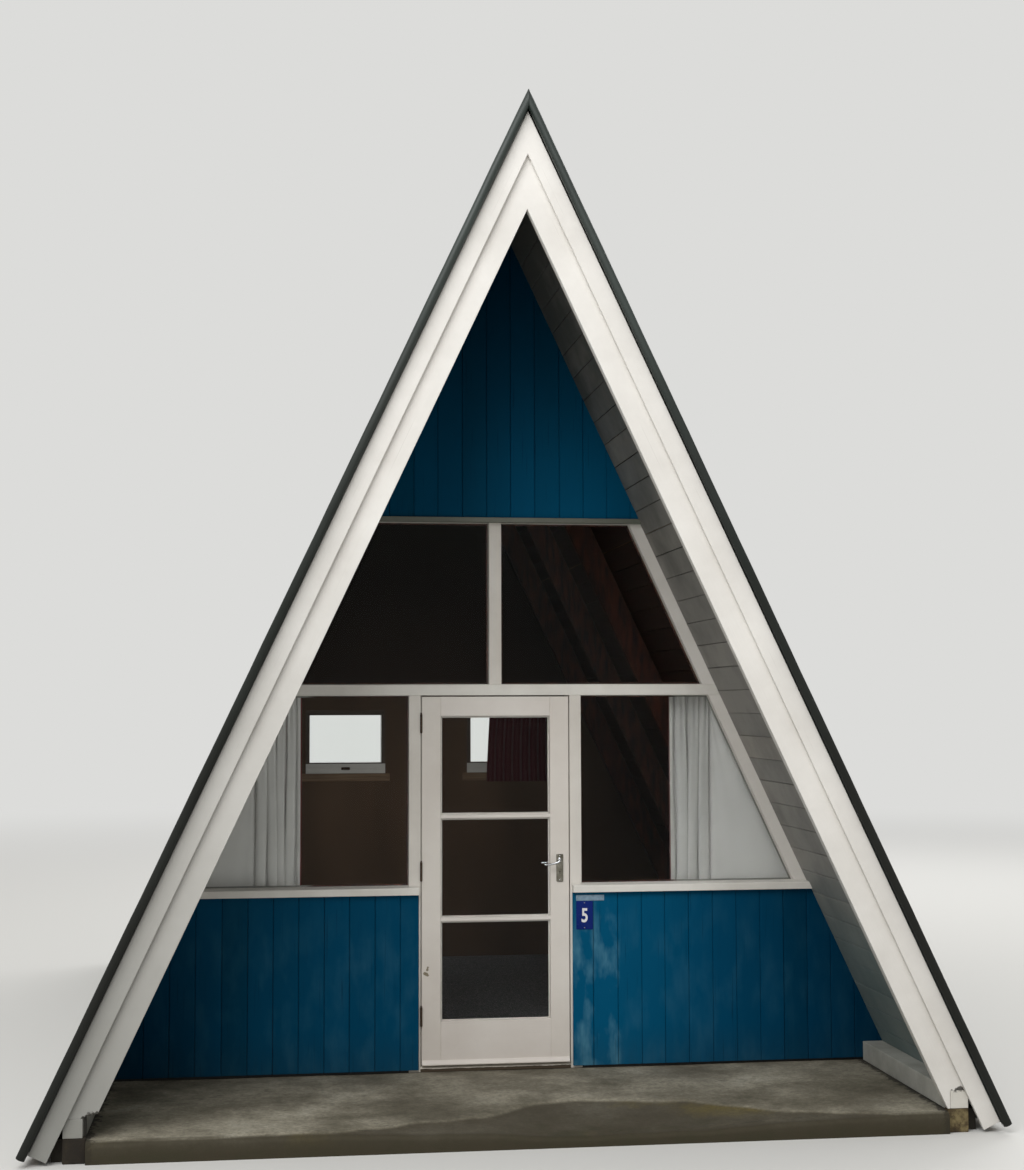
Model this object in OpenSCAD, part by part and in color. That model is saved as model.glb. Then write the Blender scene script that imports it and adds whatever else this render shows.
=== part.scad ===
// A-frame cabin: two steep roof slopes down to a concrete slab, a recessed glazed front with a
// half-glazed door, and a plain boarded back. Millimetres, Z up, the front faces -Y.
// The origin is on the ground under the middle of the building.

/* [Slab] */
// Height of the concrete slab above the ground
slab_h = 105; // [80:5:200]
// How far the slab edge stays inside the sloping lining at floor level
slab_inset = 5; // [2:1:30]
// How far the slab runs on behind the back wall
slab_back = 30; // [10:5:120]
// Width of a corner pier
pier_w = 105; // [90:5:200]
// How far the pier tops stand above the slab
pier_rise = 10; // [0:2:40]

/* [Roof] */
// Slope of the roof above level, in degrees
pitch = 64.9; // [58:0.1:68]
// Height of the lining's apex above the slab
apex_h = 4718; // [3900:10:5700]
// Distance from one rafter to the next, centre to centre
bay_d = 1292; // [1150:2:1500]
// Number of bays from front to back
bay_n = 5; // [5:1:6]
// Depth of the porch, from barge board face to front wall
porch_d = 1320; // [600:10:1600]
// Distance between the outer faces of front and back wall
room_d = 4465; // [3600:5:4900]
// Depth of a rafter, square to the slope
rafter_d = 145; // [120:5:200]
// Thickness of a rafter
rafter_t = 50; // [38:1:60]
// Thickness of the lining boards on the rafters
lining_t = 20; // [16:1:30]
// Height of a roofing batten
batten_h = 38; // [30:1:60]
// Width of a roofing batten
batten_w = 75; // [50:5:100]
// Number of battens on a slope
batten_n = 9; // [5:1:12]
// Thickness of the ridge board
ridge_t = 25; // [19:1:45]
// Depth of the ridge board
ridge_d = 190; // [120:10:300]
// How far the boards and lining run down past slab level, along the slope
eave_run = 86; // [40:2:100]
// How far the roofing runs down past the boards
iron_run = 23; // [10:1:28]

/* [Roofing iron] */
// Distance from one corrugation to the next
corr_pitch = 76.2; // [60:0.2:100]
// Depth of a corrugation
corr_d = 17; // [12:0.5:25]
// Thickness of the sheet
sheet_t = 1.2; // [0.8:0.1:3]
// Points worked out for one corrugation
corr_steps = 10; // [6:2:16]
// Radius of the roll on a barge capping
roll_r = 21.5; // [15:0.5:30]
// Width of a capping's flange on the roof
cap_flange = 110; // [60:5:200]
// Width of a ridge flange, down the slope
ridge_flange = 170; // [100:5:300]
// Radius of the roll on the ridge
ridge_roll_r = 16; // [10:1:25]

/* [Barge] */
// Width of a barge board, square to the slope
barge_w = 90.5; // [85:0.5:120]
// Thickness of a barge board
barge_t = 25; // [18:1:35]
// Height of the repaired rafter foot block
foot_h = 87; // [60:1:120]
// Width of the repaired rafter foot block
foot_w = 90; // [60:1:100]
// Width of rafter left standing inside each block, at the pier
foot_in = 14; // [8:1:20]

/* [Front wall] */
// Thickness of the framed walls
wall_t = 95; // [70:5:140]
// Thickness of the cladding boards
clad_t = 18; // [12:1:25]
// Gap between slab and cladding
clad_gap = 15; // [5:1:40]
// Height of the window sill's underside above the slab
sill_z = 945; // [800:5:1100]
// Height of the window sill
sill_h = 47; // [35:1:70]
// How far the sill stands out from the wall
sill_nose = 45; // [25:1:80]
// Height of the transom
transom_h = 59; // [50:1:100]
// Height of the gable rail's underside above the slab
gable_z = 2973; // [2700:5:3200]
// Height of the gable rail
gable_h = 27; // [20:1:60]
// How far the gable rail stands out from the wall
gable_nose = 30; // [20:1:50]
// Width of the middle mullion
mullion_w = 68; // [50:1:120]
// Width of a door post
post_w = 64; // [50:1:100]
// Cover of the cladding over a door post
post_cover = 53; // [20:1:55]
// Width of a sloping window frame at its head
slope_frame_head = 60; // [45:1:90]
// Width of a sloping window frame at its foot
slope_frame_foot = 66; // [55:1:120]
// Thickness of the window glass
glass_t = 6; // [4:0.5:10]
// How far the window glass sits behind the wall face
glass_in = 40; // [20:1:60]
// Depth of the glazing groove in a frame
groove_d = 9; // [5:0.5:14]

/* [Door] */
// Width of the door leaf
leaf_w = 810; // [700:5:900]
// Height of the door leaf
leaf_h = 1980; // [1900:5:2100]
// Thickness of the door leaf
leaf_t = 40; // [35:1:50]
// Height of the leaf above the slab
leaf_z = 36; // [36:1:42]
// Running gap at the sides of the leaf
leaf_gap = 5; // [5:0.5:8]
// Gap over the leaf, under the transom
head_gap = 7; // [5:0.5:10]
// Width of a door stile
stile_w = 104.5; // [80:0.5:130]
// Height of the top rail
top_rail = 106; // [80:1:140]
// Height of the bottom rail
bottom_rail = 229; // [160:1:300]
// Height of a glazing bar
bar_h = 20; // [18:1:40]
// Number of lights in the door
light_n = 3; // [2:1:4]
// Thickness of the door glass
door_glass_t = 4; // [3:0.5:6]
// Height of the threshold
threshold_h = 30; // [20:1:31]
// Depth of the door stop
stop_w = 12; // [8:1:20]
// Height of the weather bar
weather_h = 26; // [18:1:45]
// How far the weather bar stands out
weather_d = 18; // [14:1:18]
// How far the weather bar stops short of the leaf's edges
weather_end = 2; // [1:1:5]
// Height of a hinge
hinge_h = 100; // [75:5:125]
// Radius of a hinge knuckle
knuckle_r = 6.5; // [5:0.5:8]
// Radius of a hinge pin
pin_r = 3; // [2:0.5:4]
// Thickness of a hinge plate
hinge_t = 2; // [1.5:0.1:2.2]
// Width of the handle plate
plate_w = 38; // [30:1:50]
// Height of the handle plate
plate_h = 150; // [120:5:200]
// Thickness of the handle plate
plate_t = 7; // [4:0.5:10]
// Keyhole below the spindle
key_drop = 65; // [45:1:100]
// Height of the handle spindle above the slab
spindle_z = 1125; // [950:5:1200]
// Length of a lever
lever_l = 92; // [70:1:120]
// Droop of a lever below level, in degrees
lever_droop = 14; // [0:1:25]

/* [Fittings] */
// Width of the number plate
number_w = 92; // [60:2:150]
// Height of the number plate
number_h = 153; // [80:1:200]
// Thickness of the plates on the wall
sign_t = 2; // [1:0.5:4]
// Width of the bare name strip
strip_w = 155; // [100:5:200]
// Height of the bare name strip
strip_h = 31; // [20:1:40]
// Thickness of the carpet
carpet_t = 8; // [4:1:15]
// Thickness of a hanging curtain
curtain_t = 46; // [30:2:70]
// Height and depth of a curtain track
track_s = 22; // [14:1:30]

/* [Back wall] */
// Width of a back window
bwin_w = 618; // [450:2:800]
// Height of a back window
bwin_h = 492; // [350:2:600]
// Height of a back window's underside above the slab
bwin_z = 1438; // [1300:2:1600]
// Distance from the middle line to a back window
bwin_x = 322; // [250:2:450]
// Width of a window frame at the sides
bframe_side = 29; // [22:1:50]
// Height of a window frame at the head
bframe_head = 39; // [25:1:60]
// Height of a window frame at the foot
bframe_foot = 83; // [60:1:110]
// Width of the stiles of a back sash
bsash_side = 18; // [12:1:20]
// Width of the top rail of a back sash
bsash_head = 24; // [12:1:24]
// Width of the bottom rail of a back sash
bsash_foot = 44; // [30:1:56]
// Height of a back window's outer sill
bsill_h = 34; // [24:1:60]

/* [Toe boards] */
// Height of the boxed toe board along the slope
toe_h = 102; // [70:1:160]
// Thickness of the toe board timber
toe_t = 20; // [12:1:30]

/* [Hidden] */
$fn = 32;

// Clearances and small values shared by pieces that meet
touch = 0.3;
scribe = 0.05;
joint_gap = 1;
far = 8000;

// Places along the building, from front to back
length = bay_n * bay_d + rafter_t + 2 * barge_t;
y_front = -length / 2;
y_wall = y_front + porch_d;
y_room = y_wall + wall_t;
y_back_in = y_wall + room_d - wall_t;
y_back_wall = y_wall + room_d;
y_rear = length / 2;
y_glass = y_wall + glass_in;

// Heights above the ground
z_slab = slab_h;
z_apex = slab_h + apex_h;
z_sill = z_slab + sill_z;
z_sill_top = z_sill + sill_h;
z_transom = z_slab + leaf_z + leaf_h + head_gap;
z_transom_top = z_transom + transom_h;
z_gable = z_slab + gable_z;
z_gable_top = z_gable + gable_h;
z_leaf = z_slab + leaf_z;
z_pier = z_slab + pier_rise;
z_bwin = z_slab + bwin_z;

// The slope: s runs down it from the apex of the lining, n stands out square to it
s_slab = apex_h / sin(pitch);
s_eave = s_slab + eave_run;
s_iron = s_eave + iron_run;
n_iron = lining_t + batten_h;
n_crest = n_iron + corr_d + sheet_t;
function plumb(n, gap = 0) = -n * tan(pitch) + gap / cos(pitch);
function level(n, z) = (z_apex - z + n * cos(pitch)) / sin(pitch);
function slope_x(z, n = 0) = (z_apex - z) / tan(pitch) + n / sin(pitch);

// Half widths of the doorway and its posts
door_x = leaf_w / 2 + leaf_gap;
post_x = door_x + post_w;
clad_x = post_x - post_cover;
slab_x = slope_x(z_slab) - slab_inset;
pier_x = slope_x(z_pier, -rafter_d);
foot_x = pier_x + foot_in;

// Carries children from the slope's own axes (s, y, n) to the building, on side 1 or -1
module on_slope(side) {
    mirror([side < 0 ? 1 : 0, 0, 0]) translate([0, 0, z_apex]) rotate([0, pitch, 0]) children();
}

// Extrudes an outline drawn in (x, z) from y0 to y1
module along_y(y0, y1) {
    translate([0, y1, 0]) rotate([90, 0, 0]) linear_extrude(y1 - y0) children();
}

// Extrudes an outline drawn in (y, z) from x0 to x1
module along_x(x0, x1) {
    translate([x0, 0, 0]) rotate([90, 0, 90]) linear_extrude(x1 - x0) children();
}

// A strip of the slope between n0 and n1 with a plumb cut at the top and a square end
module slope_strip(n0, n1, s_end, gap = 0) {
    polygon([[plumb(n0, gap), n0], [plumb(n1, gap), n1], [s_end, n1], [s_end, n0]]);
}

// A rafter: plumb cut against the ridge board, level cut a scribe's width over its foot
module rafter_outline(z_foot, gap) {
    z = z_foot + scribe;
    polygon([[plumb(-rafter_d, gap), -rafter_d], [plumb(0, gap), 0], [level(0, z), 0],
        [level(-rafter_d, z), -rafter_d]]);
}

// A wall outline between two heights, from the slope in to half width x_in
module wall_outline(z0, z1, x_in) {
    polygon([[x_in, z0], [slope_x(z0), z0], [slope_x(z1), z1], [x_in, z1]]);
}

// Ridge board between two places, its top edge just under the lining
z_ridge = z_apex - ridge_t / 2 * tan(pitch) - ridge_d;
module ridge_run(y0, y1) {
    translate([-ridge_t / 2, y0, z_ridge]) cube([ridge_t, y1 - y0, ridge_d]);
}

// The slot that lets the ridge board run through a gable, open at the top
module ridge_slot(y0, y1) {
    translate([-ridge_t / 2, y0 - 1, z_ridge]) cube([ridge_t, y1 - y0 + 2, z_apex - z_ridge + 1]);
}

// Concrete slab, notched at its front corners for the piers
module floor_slab() {
    notch_x = pier_x - touch;
    notch_y = y_front + barge_t + rafter_t + touch;
    color("#8b8a80") difference() {
        translate([-slab_x, y_front, 0]) cube([2 * slab_x, porch_d + room_d + slab_back, slab_h]);
        for (side = [-1, 1])
            translate([side > 0 ? notch_x : -far, y_front - far, -1])
                cube([far - (side > 0 ? 0 : notch_x), far + notch_y - y_front, slab_h + 2]);
    }
}

// Four concrete piers that carry the end rafters
module corner_piers() {
    color("#7d7a6e") for (side = [-1, 1]) for (y = [y_front + barge_t, y_rear - barge_t - rafter_t])
        translate([side > 0 ? pier_x : -pier_x - pier_w, y, 0]) cube([pier_w, rafter_t, z_pier]);
}

// Fitted carpet on the slab
module carpet() {
    x1 = slope_x(z_slab + carpet_t, -rafter_d) - touch;
    color("#2b2a2d") translate([-x1, y_room, z_slab]) cube([2 * x1, y_back_in - y_room, carpet_t]);
}

// Boxed toe board: an upright board with a ledge over the rafter line
module toe_board(side) {
    x0 = slope_x(z_slab, -rafter_d);
    x1 = slope_x(z_slab + toe_h);
    color("#d8d6d0") mirror([side < 0 ? 1 : 0, 0, 0])
        along_y(y_front + barge_t + rafter_t, y_wall - clad_t)
            polygon([[x0, z_slab], [x0 + toe_t, z_slab], [x0 + toe_t, z_slab + toe_h - toe_t],
                [slope_x(z_slab + toe_h - toe_t), z_slab + toe_h - toe_t], [x1, z_slab + toe_h],
                [x0, z_slab + toe_h]]);
}

// New blocks let in where the front rafter feet were cut away
module foot_blocks() {
    color("#dcdad4") for (side = [-1, 1])
        translate([side > 0 ? foot_x : -foot_x - foot_w, y_front + barge_t, z_pier])
            cube([foot_w, rafter_t, foot_h]);
}

// The pair of end rafters behind the barge boards
module barge_rafters(y0) {
    color("#dddbd6") for (side = [-1, 1])
        on_slope(side) along_y(y0, y0 + rafter_t) rafter_outline(z_pier, joint_gap / 2);
}

// The space of the repair at the front feet: all that lies outside and under a block
module foot_repair() {
    for (side = [-1, 1]) mirror([side < 0 ? 1 : 0, 0, 0])
        translate([foot_x - scribe, y_front, z_pier - foot_h])
            cube([far, barge_t + rafter_t + 1, 2 * foot_h + scribe]);
}

// The front pair, with a strip of each left standing on its pier inside the block
module front_barge_rafters() {
    difference() {
        barge_rafters(y_front + barge_t);
        foot_repair();
    }
}

// Exposed rafters inside the room
module rafters(side) {
    color("#4a2a1e") on_slope(side) for (i = [1:bay_n - 1]) {
        y0 = y_front + barge_t + i * bay_d;
        if (y0 > y_room && y0 + rafter_t < y_back_in)
            along_y(y0, y0 + rafter_t) rafter_outline(z_slab, ridge_t / 2);
    }
}

// Ridge board between the rafter heads, from one pair of end rafters to the other
module ridge_board() {
    end = barge_t + rafter_t;
    color("#55352a") ridge_run(y_front + end, y_rear - end);
}

// Lining boards on the rafters, a scribe's width over the walls: soffit outside, ceiling inside
module lining(side) {
    color("#b9b8b5") on_slope(side) along_y(y_front + barge_t, y_rear - barge_t)
        slope_strip(scribe, lining_t, s_eave);
}

// Battens across the slope, under the roofing
module battens(side) {
    first = 12;
    step = (s_eave - batten_w - first) / (batten_n - 1);
    color("#a58b63") on_slope(side) for (i = [0:batten_n - 1])
        translate([first + i * step, y_front + barge_t, lining_t])
            cube([batten_w, length - 2 * barge_t, batten_h]);
}

// Height of the corrugated sheet above its valley, by cosine
function wave(y) = corr_d / 2 * (1 - cos(360 * y / corr_pitch));

// Corrugated roofing, its waves running down the slope
module roofing(side) {
    count = ceil(length / corr_pitch * corr_steps);
    step = length / count;
    under = [for (i = [0:count]) [y_front + i * step, n_iron + wave(i * step)]];
    over = [for (i = [count:-1:0]) [y_front + i * step, n_iron + wave(i * step) + sheet_t]];
    color("#3d443f") on_slope(side) along_x(0, s_iron) polygon(concat(under, over));
}

// A point given in the slope's axes, in (x, z)
function slope_point(side, s, n) =
    [side * (s * cos(pitch) + n * sin(pitch)), z_apex - s * sin(pitch) + n * cos(pitch)];

// Ridge capping: a flange down each slope and a closed roll along the top
module ridge_cap() {
    n0 = n_crest + 2 * touch + sheet_t;
    n1 = n0 + sheet_t;
    color("#363d39") {
        along_y(y_front + touch, y_rear - touch)
            polygon([[0, z_apex + n1 / cos(pitch)], slope_point(1, ridge_flange, n1),
                slope_point(1, ridge_flange, n0), [0, z_apex + n0 / cos(pitch)],
                slope_point(-1, ridge_flange, n0), slope_point(-1, ridge_flange, n1)]);
        along_y(y_front + touch, y_rear - touch)
            translate([0, z_apex + n0 / cos(pitch) + touch + ridge_roll_r]) circle(r = ridge_roll_r);
    }
}

// Section of a barge capping, drawn in (y, n) with the board face at y = 0, facing -y
module barge_cap_section() {
    n0 = n_crest + touch;
    difference() {
        union() {
            translate([-roll_r, n_iron + roll_r + touch]) circle(r = roll_r);
            translate([-roll_r, n0]) square([roll_r + cap_flange, sheet_t]);
        }
        translate([-roll_r, n_iron + roll_r + touch]) circle(r = roll_r - sheet_t);
    }
}

// Pair of barge cappings on one end, cut plumb at the apex
module barge_caps(front) {
    color("#333a36") for (side = [-1, 1]) intersection() {
        on_slope(side) translate([0, front ? y_front : y_rear, 0]) mirror([0, front ? 0 : 1, 0])
            along_x(-far / 10, s_iron) barge_cap_section();
        translate([side > 0 ? joint_gap / 2 : -far - joint_gap / 2, -far, 0]) cube([far, 2 * far, far]);
    }
}

// Pair of barge boards on one end, square at the foot
module barge_boards(y0) {
    color("#e3e1db") for (side = [-1, 1]) on_slope(side)
        along_y(y0, y0 + barge_t) slope_strip(n_iron - barge_w, n_iron, s_eave, joint_gap / 2);
}

// Framed wall under a front window
module front_wall(side) {
    color("#c9c2b4") mirror([side < 0 ? 1 : 0, 0, 0])
        along_y(y_wall, y_room) wall_outline(z_slab, z_sill, post_x);
}

// Upright boards under a front window
module front_cladding(side) {
    color("#0b4d78") mirror([side < 0 ? 1 : 0, 0, 0])
        along_y(y_wall - clad_t, y_wall) wall_outline(z_slab + clad_gap, z_sill, clad_x);
}

// Framed gable over the windows, round the ridge board
module gable_wall() {
    color("#6b4a38") difference() {
        along_y(y_wall, y_room) gable_outline();
        ridge_slot(y_wall, y_room);
    }
}

// Upright boards on the gable
module gable_cladding() {
    color("#0a4468") difference() {
        along_y(y_wall - clad_t, y_wall) gable_outline();
        ridge_slot(y_wall - clad_t, y_wall);
    }
}

// The triangle between gable rail and lining
module gable_outline() {
    polygon([[-slope_x(z_gable_top), z_gable_top], [slope_x(z_gable_top), z_gable_top], [0, z_apex]]);
}

// Door post with its stop behind the leaf and a groove for the glass
module door_post(side) {
    stop_y = y_wall + leaf_t + leaf_gap;
    color("#dddbd6") mirror([side < 0 ? 1 : 0, 0, 0]) difference() {
        union() {
            translate([door_x, y_wall, z_slab]) cube([post_w, wall_t, z_transom - z_slab]);
            translate([door_x - stop_w, stop_y, z_slab + threshold_h])
                cube([stop_w + 1, y_room - stop_y, z_transom - z_slab - threshold_h]);
        }
        lower_glass_space(1);
    }
}

// Painted threshold between the posts, its front edge weathered
module threshold() {
    color("#d6d4cd") along_x(-door_x, door_x) polygon([[y_wall, z_slab], [y_room, z_slab],
        [y_room, z_slab + threshold_h], [y_wall + threshold_h / 2, z_slab + threshold_h],
        [y_wall, z_slab + threshold_h * 2 / 3]]);
}

// Transom across the whole front, grooved above and below for the glass
module transom() {
    color("#dddbd6") difference() {
        along_y(y_wall, y_room) cross_outline(z_transom, z_transom_top);
        for (side = [-1, 1]) {
            upper_glass_space(side);
            lower_glass_space(side);
        }
    }
}

// Outline of a member that runs across from slope to slope
module cross_outline(z0, z1) {
    polygon([[-slope_x(z0), z0], [slope_x(z0), z0], [slope_x(z1), z1], [-slope_x(z1), z1]]);
}

// Middle mullion, grooved on both sides
module mullion() {
    color("#dddbd6") difference() {
        translate([-mullion_w / 2, y_wall, z_transom_top])
            cube([mullion_w, wall_t, z_gable - z_transom_top]);
        for (side = [-1, 1]) upper_glass_space(side);
    }
}

// Gable rail under the gable boards
module gable_rail() {
    color("#dddbd6") difference() {
        along_y(y_wall - gable_nose, y_room) cross_outline(z_gable, z_gable_top);
        for (side = [-1, 1]) upper_glass_space(side);
    }
}

// Inner edge of a sloping frame: head width at z1, foot width at z0
function frame_x(z, z0, z1) =
    slope_x(z) - (slope_frame_foot + (slope_frame_head - slope_frame_foot) * (z - z0) / (z1 - z0))
        / sin(pitch);

// Outline of one sloping frame between two heights
module slope_frame_outline(z0, z1) {
    polygon([[frame_x(z0, z0, z1), z0], [slope_x(z0), z0], [slope_x(z1), z1], [frame_x(z1, z0, z1), z1]]);
}

// Outline of a pane between two heights, from half width x_in, grown by g all round
module pane_outline(z0, z1, x_in, g) {
    polygon([[x_in - g, z0 - g], [frame_x(z0, z0, z1) + g, z0 - g],
        [frame_x(z1, z0, z1) + g, z1 + g], [x_in - g, z1 + g]]);
}

// The groove space that a pane sits in, a touch larger than the pane
module upper_glass_space(side) {
    mirror([side < 0 ? 1 : 0, 0, 0]) along_y(y_glass - touch, y_glass + glass_t + touch)
        pane_outline(z_transom_top, z_gable, mullion_w / 2, groove_d);
}
module lower_glass_space(side) {
    mirror([side < 0 ? 1 : 0, 0, 0]) along_y(y_glass - touch, y_glass + glass_t + touch)
        pane_outline(z_sill_top, z_transom, post_x, groove_d);
}

// Sloping window frames of one side, above and below the transom
module slope_frame(side) {
    color("#d8d4cc") difference() {
        mirror([side < 0 ? 1 : 0, 0, 0]) along_y(y_wall, y_room) {
            slope_frame_outline(z_transom_top, z_gable);
            slope_frame_outline(z_sill_top, z_transom);
        }
        upper_glass_space(side);
        lower_glass_space(side);
    }
}

// Window sill with a weathered nose that laps the post
module sill(side) {
    color("#e0ded8") difference() {
        mirror([side < 0 ? 1 : 0, 0, 0]) intersection() {
            union() {
                along_x(clad_x, far / 2) polygon([[y_wall - sill_nose, z_sill + 3],
                    [y_wall - sill_nose, z_sill_top - 8], [y_wall - sill_nose + 3, z_sill_top - 5],
                    [y_wall, z_sill_top], [y_wall, z_sill]]);
                translate([post_x, y_wall, z_sill]) cube([far / 2, wall_t, sill_h]);
            }
            along_y(y_wall - sill_nose, y_room) wall_outline(z_sill, z_sill_top, clad_x);
        }
        lower_glass_space(side);
    }
}

// Panes, held in the grooves of the frames round them
module upper_panes() {
    color("#2c3433") for (side = [-1, 1]) mirror([side < 0 ? 1 : 0, 0, 0])
        along_y(y_glass, y_glass + glass_t)
            pane_outline(z_transom_top, z_gable, mullion_w / 2, groove_d - 1);
}
module lower_panes() {
    color("#39413f") for (side = [-1, 1]) mirror([side < 0 ? 1 : 0, 0, 0])
        along_y(y_glass, y_glass + glass_t)
            pane_outline(z_sill_top, z_transom, post_x, groove_d - 1);
}

// Lights of the door
light_h = (leaf_h - top_rail - bottom_rail - (light_n - 1) * bar_h) / light_n;
light_w = leaf_w - 2 * stile_w;
y_door_glass = y_wall + leaf_t / 2 - door_glass_t / 2;
module door_lights(y0, y1, g) {
    for (i = [0:light_n - 1])
        translate([-light_w / 2 - g, y0, z_leaf + bottom_rail + i * (light_h + bar_h) - g])
            cube([light_w + 2 * g, y1 - y0, light_h + 2 * g]);
}

// Bore for the handle spindle, and the play of the spindle in it
spindle_r = 5;
clear_spindle = 0.5;
spindle_x = (light_w + stile_w) / 2;
module spindle_bore() {
    translate([spindle_x, y_wall - 60, z_slab + spindle_z]) rotate([-90, 0, 0])
        cylinder(h = leaf_t + 120, r = spindle_r);
}

// Door leaf: stiles, rails and bars, grooved for the glass
module door_leaf() {
    color("#e0ded9") difference() {
        translate([-leaf_w / 2, y_wall, z_leaf]) cube([leaf_w, leaf_t, leaf_h]);
        door_lights(y_wall - 1, y_wall + leaf_t + 1, 0);
        door_lights(y_door_glass - touch, y_door_glass + door_glass_t + touch, groove_d - 1);
        spindle_bore();
    }
}

// The three panes of the door
module door_glass() {
    color("#333a38") door_lights(y_door_glass, y_door_glass + door_glass_t, groove_d - 2);
}

// Weather bar along the foot of the door
module weather_bar() {
    z1 = z_leaf + weather_h;
    x1 = leaf_w / 2 - weather_end;
    color("#e3e1dc") along_x(-x1, x1) polygon([[y_wall, z_leaf],
        [y_wall - weather_d, z_leaf], [y_wall - weather_d, z_leaf + weather_h / 4],
        [y_wall - weather_d / 3, z1], [y_wall, z1]]);
}

// Hinges: axis, and the heights of their middles above the slab
hinge_x = -door_x + leaf_gap / 2;
hinge_y = y_wall - knuckle_r - 1.5;
hinge_zs = [leaf_z + 260, leaf_z + leaf_h / 2 + 45, leaf_z + leaf_h - 145];
knuckle_n = 5;
knuckle_h = hinge_h / knuckle_n;
knuckle_gap = 0.4;

// One half of a hinge: its plate and every second knuckle
module hinge_half(z_mid, first, x_plate, bore) {
    z0 = z_slab + z_mid - hinge_h / 2;
    difference() {
        union() {
            translate([x_plate, y_wall - 1, z0]) cube([hinge_t, 31, hinge_h]);
            for (i = [first:2:knuckle_n - 1]) {
                translate([hinge_x, hinge_y, z0 + i * knuckle_h + knuckle_gap / 2])
                    cylinder(h = knuckle_h - knuckle_gap, r = knuckle_r);
                translate([x_plate, hinge_y, z0 + i * knuckle_h + knuckle_gap / 2])
                    cube([hinge_t, y_wall - hinge_y, knuckle_h - knuckle_gap]);
            }
        }
        if (bore) translate([hinge_x, hinge_y, z0 - 1]) cylinder(h = hinge_h + 2, r = pin_r + touch);
    }
}

// Hinge halves on the post, with the pins
module hinge_frame_halves() {
    color("#3a302a") for (z = hinge_zs) {
        hinge_half(z, 0, -door_x, false);
        translate([hinge_x, hinge_y, z_slab + z - hinge_h / 2 + 1])
            cylinder(h = hinge_h + 3, r = pin_r);
    }
}

// Hinge halves on the leaf
module hinge_door_halves() {
    color("#3a302a") for (z = hinge_zs) hinge_half(z, 1, -leaf_w / 2 - hinge_t, true);
}

// Long plates behind the levers, outside and inside, with the keyhole through both
key_r = 3.5;
key_w = 3.2;
module keyhole() {
    along_y(y_wall - plate_t - 1, y_wall + leaf_t + plate_t + 1)
        translate([spindle_x, z_slab + spindle_z - key_drop]) {
            circle(r = key_r);
            translate([-key_w / 2, -4 * key_r]) square([key_w, 4 * key_r]);
        }
}
module handle_plates() {
    z0 = z_slab + spindle_z - plate_h * 4 / 5;
    color("#c3c6c8") difference() {
        for (y = [y_wall - plate_t, y_wall + leaf_t])
            translate([spindle_x - plate_w / 2, y, z0]) cube([plate_w, plate_t, plate_h]);
        spindle_bore();
        keyhole();
    }
}

// Levers on one spindle, outside and inside: a flat bar with round ends that droops a little
lever_r = 8;
lever_end_r = 5.5;
lever_t = 11;
neck_l = 28;
module lever_bar() {
    rotate([90, 0, 0]) linear_extrude(lever_t) rotate([0, 0, 180 + lever_droop]) {
        circle(r = lever_r);
        polygon([[0, lever_r], [lever_l, lever_end_r], [lever_l, -lever_end_r], [0, -lever_r]]);
        translate([lever_l, 0]) circle(r = lever_end_r);
    }
}
module lever_handles() {
    reach = plate_t + neck_l;
    color("#cfd2d4") translate([spindle_x, 0, z_slab + spindle_z]) {
        translate([0, y_wall - reach, 0]) rotate([-90, 0, 0])
            cylinder(h = leaf_t + 2 * reach, r = spindle_r - clear_spindle);
        translate([0, y_wall - reach, 0]) lever_bar();
        translate([0, y_wall + leaf_t + reach + lever_t, 0]) lever_bar();
    }
}

// Plates screwed to the boards beside the door
sign_x = clad_x + 19;
sign_z = z_sill - 46;
module number_plate() {
    color("#1c2f86") translate([sign_x, y_wall - clad_t - sign_t, sign_z - number_h])
        cube([number_w, sign_t, number_h]);
}
module name_strip() {
    color("#7f98ad") translate([sign_x, y_wall - clad_t - sign_t, sign_z + 2])
        cube([strip_w, sign_t, strip_h]);
}

// Openings of the back windows
module back_openings(y0, y1, g) {
    for (side = [-1, 1]) mirror([side < 0 ? 1 : 0, 0, 0])
        translate([bwin_x - g, y0, z_bwin - g]) cube([bwin_w + 2 * g, y1 - y0, bwin_h + 2 * g]);
}
module rear_outline(z0) {
    polygon([[-slope_x(z0), z0], [slope_x(z0), z0], [0, z_apex]]);
}

// Framed back wall with two windows
module rear_wall() {
    color("#8a6f5a") difference() {
        along_y(y_back_in, y_back_wall) rear_outline(z_slab);
        back_openings(y_back_in - 1, y_back_wall + 1, 0);
        ridge_slot(y_back_in, y_back_wall);
    }
}

// Upright boards on the back wall
module rear_cladding() {
    color("#0b4d78") difference() {
        along_y(y_back_wall, y_back_wall + clad_t) rear_outline(z_slab + clad_gap);
        back_openings(y_back_wall - 1, y_back_wall + clad_t + 1, 0);
        ridge_slot(y_back_wall, y_back_wall + clad_t);
    }
}

// Awning window frames of the back wall, each with its outer sill
module rear_window_frames() {
    y0 = y_back_in - 6;
    y1 = y_back_wall + clad_t + 12;
    color("#dcdad4") for (side = [-1, 1]) mirror([side < 0 ? 1 : 0, 0, 0]) difference() {
        union() {
            translate([bwin_x + touch, y0, z_bwin + touch])
                cube([bwin_w - 2 * touch, y1 - y0, bwin_h - 2 * touch]);
            translate([bwin_x - 20, y_back_wall + clad_t + touch, z_bwin - bsill_h])
                cube([bwin_w + 40, 40, bsill_h + 2]);
        }
        translate([bwin_x + bframe_side, y0 - 1, z_bwin + bframe_foot])
            cube([bwin_w - 2 * bframe_side, y1 - y0 + 60, bwin_h - bframe_foot - bframe_head]);
        back_pane_space(touch);
        for (y = [y0 - 1, y1 - sash_groove]) sash_joint(y);
    }
}

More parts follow.
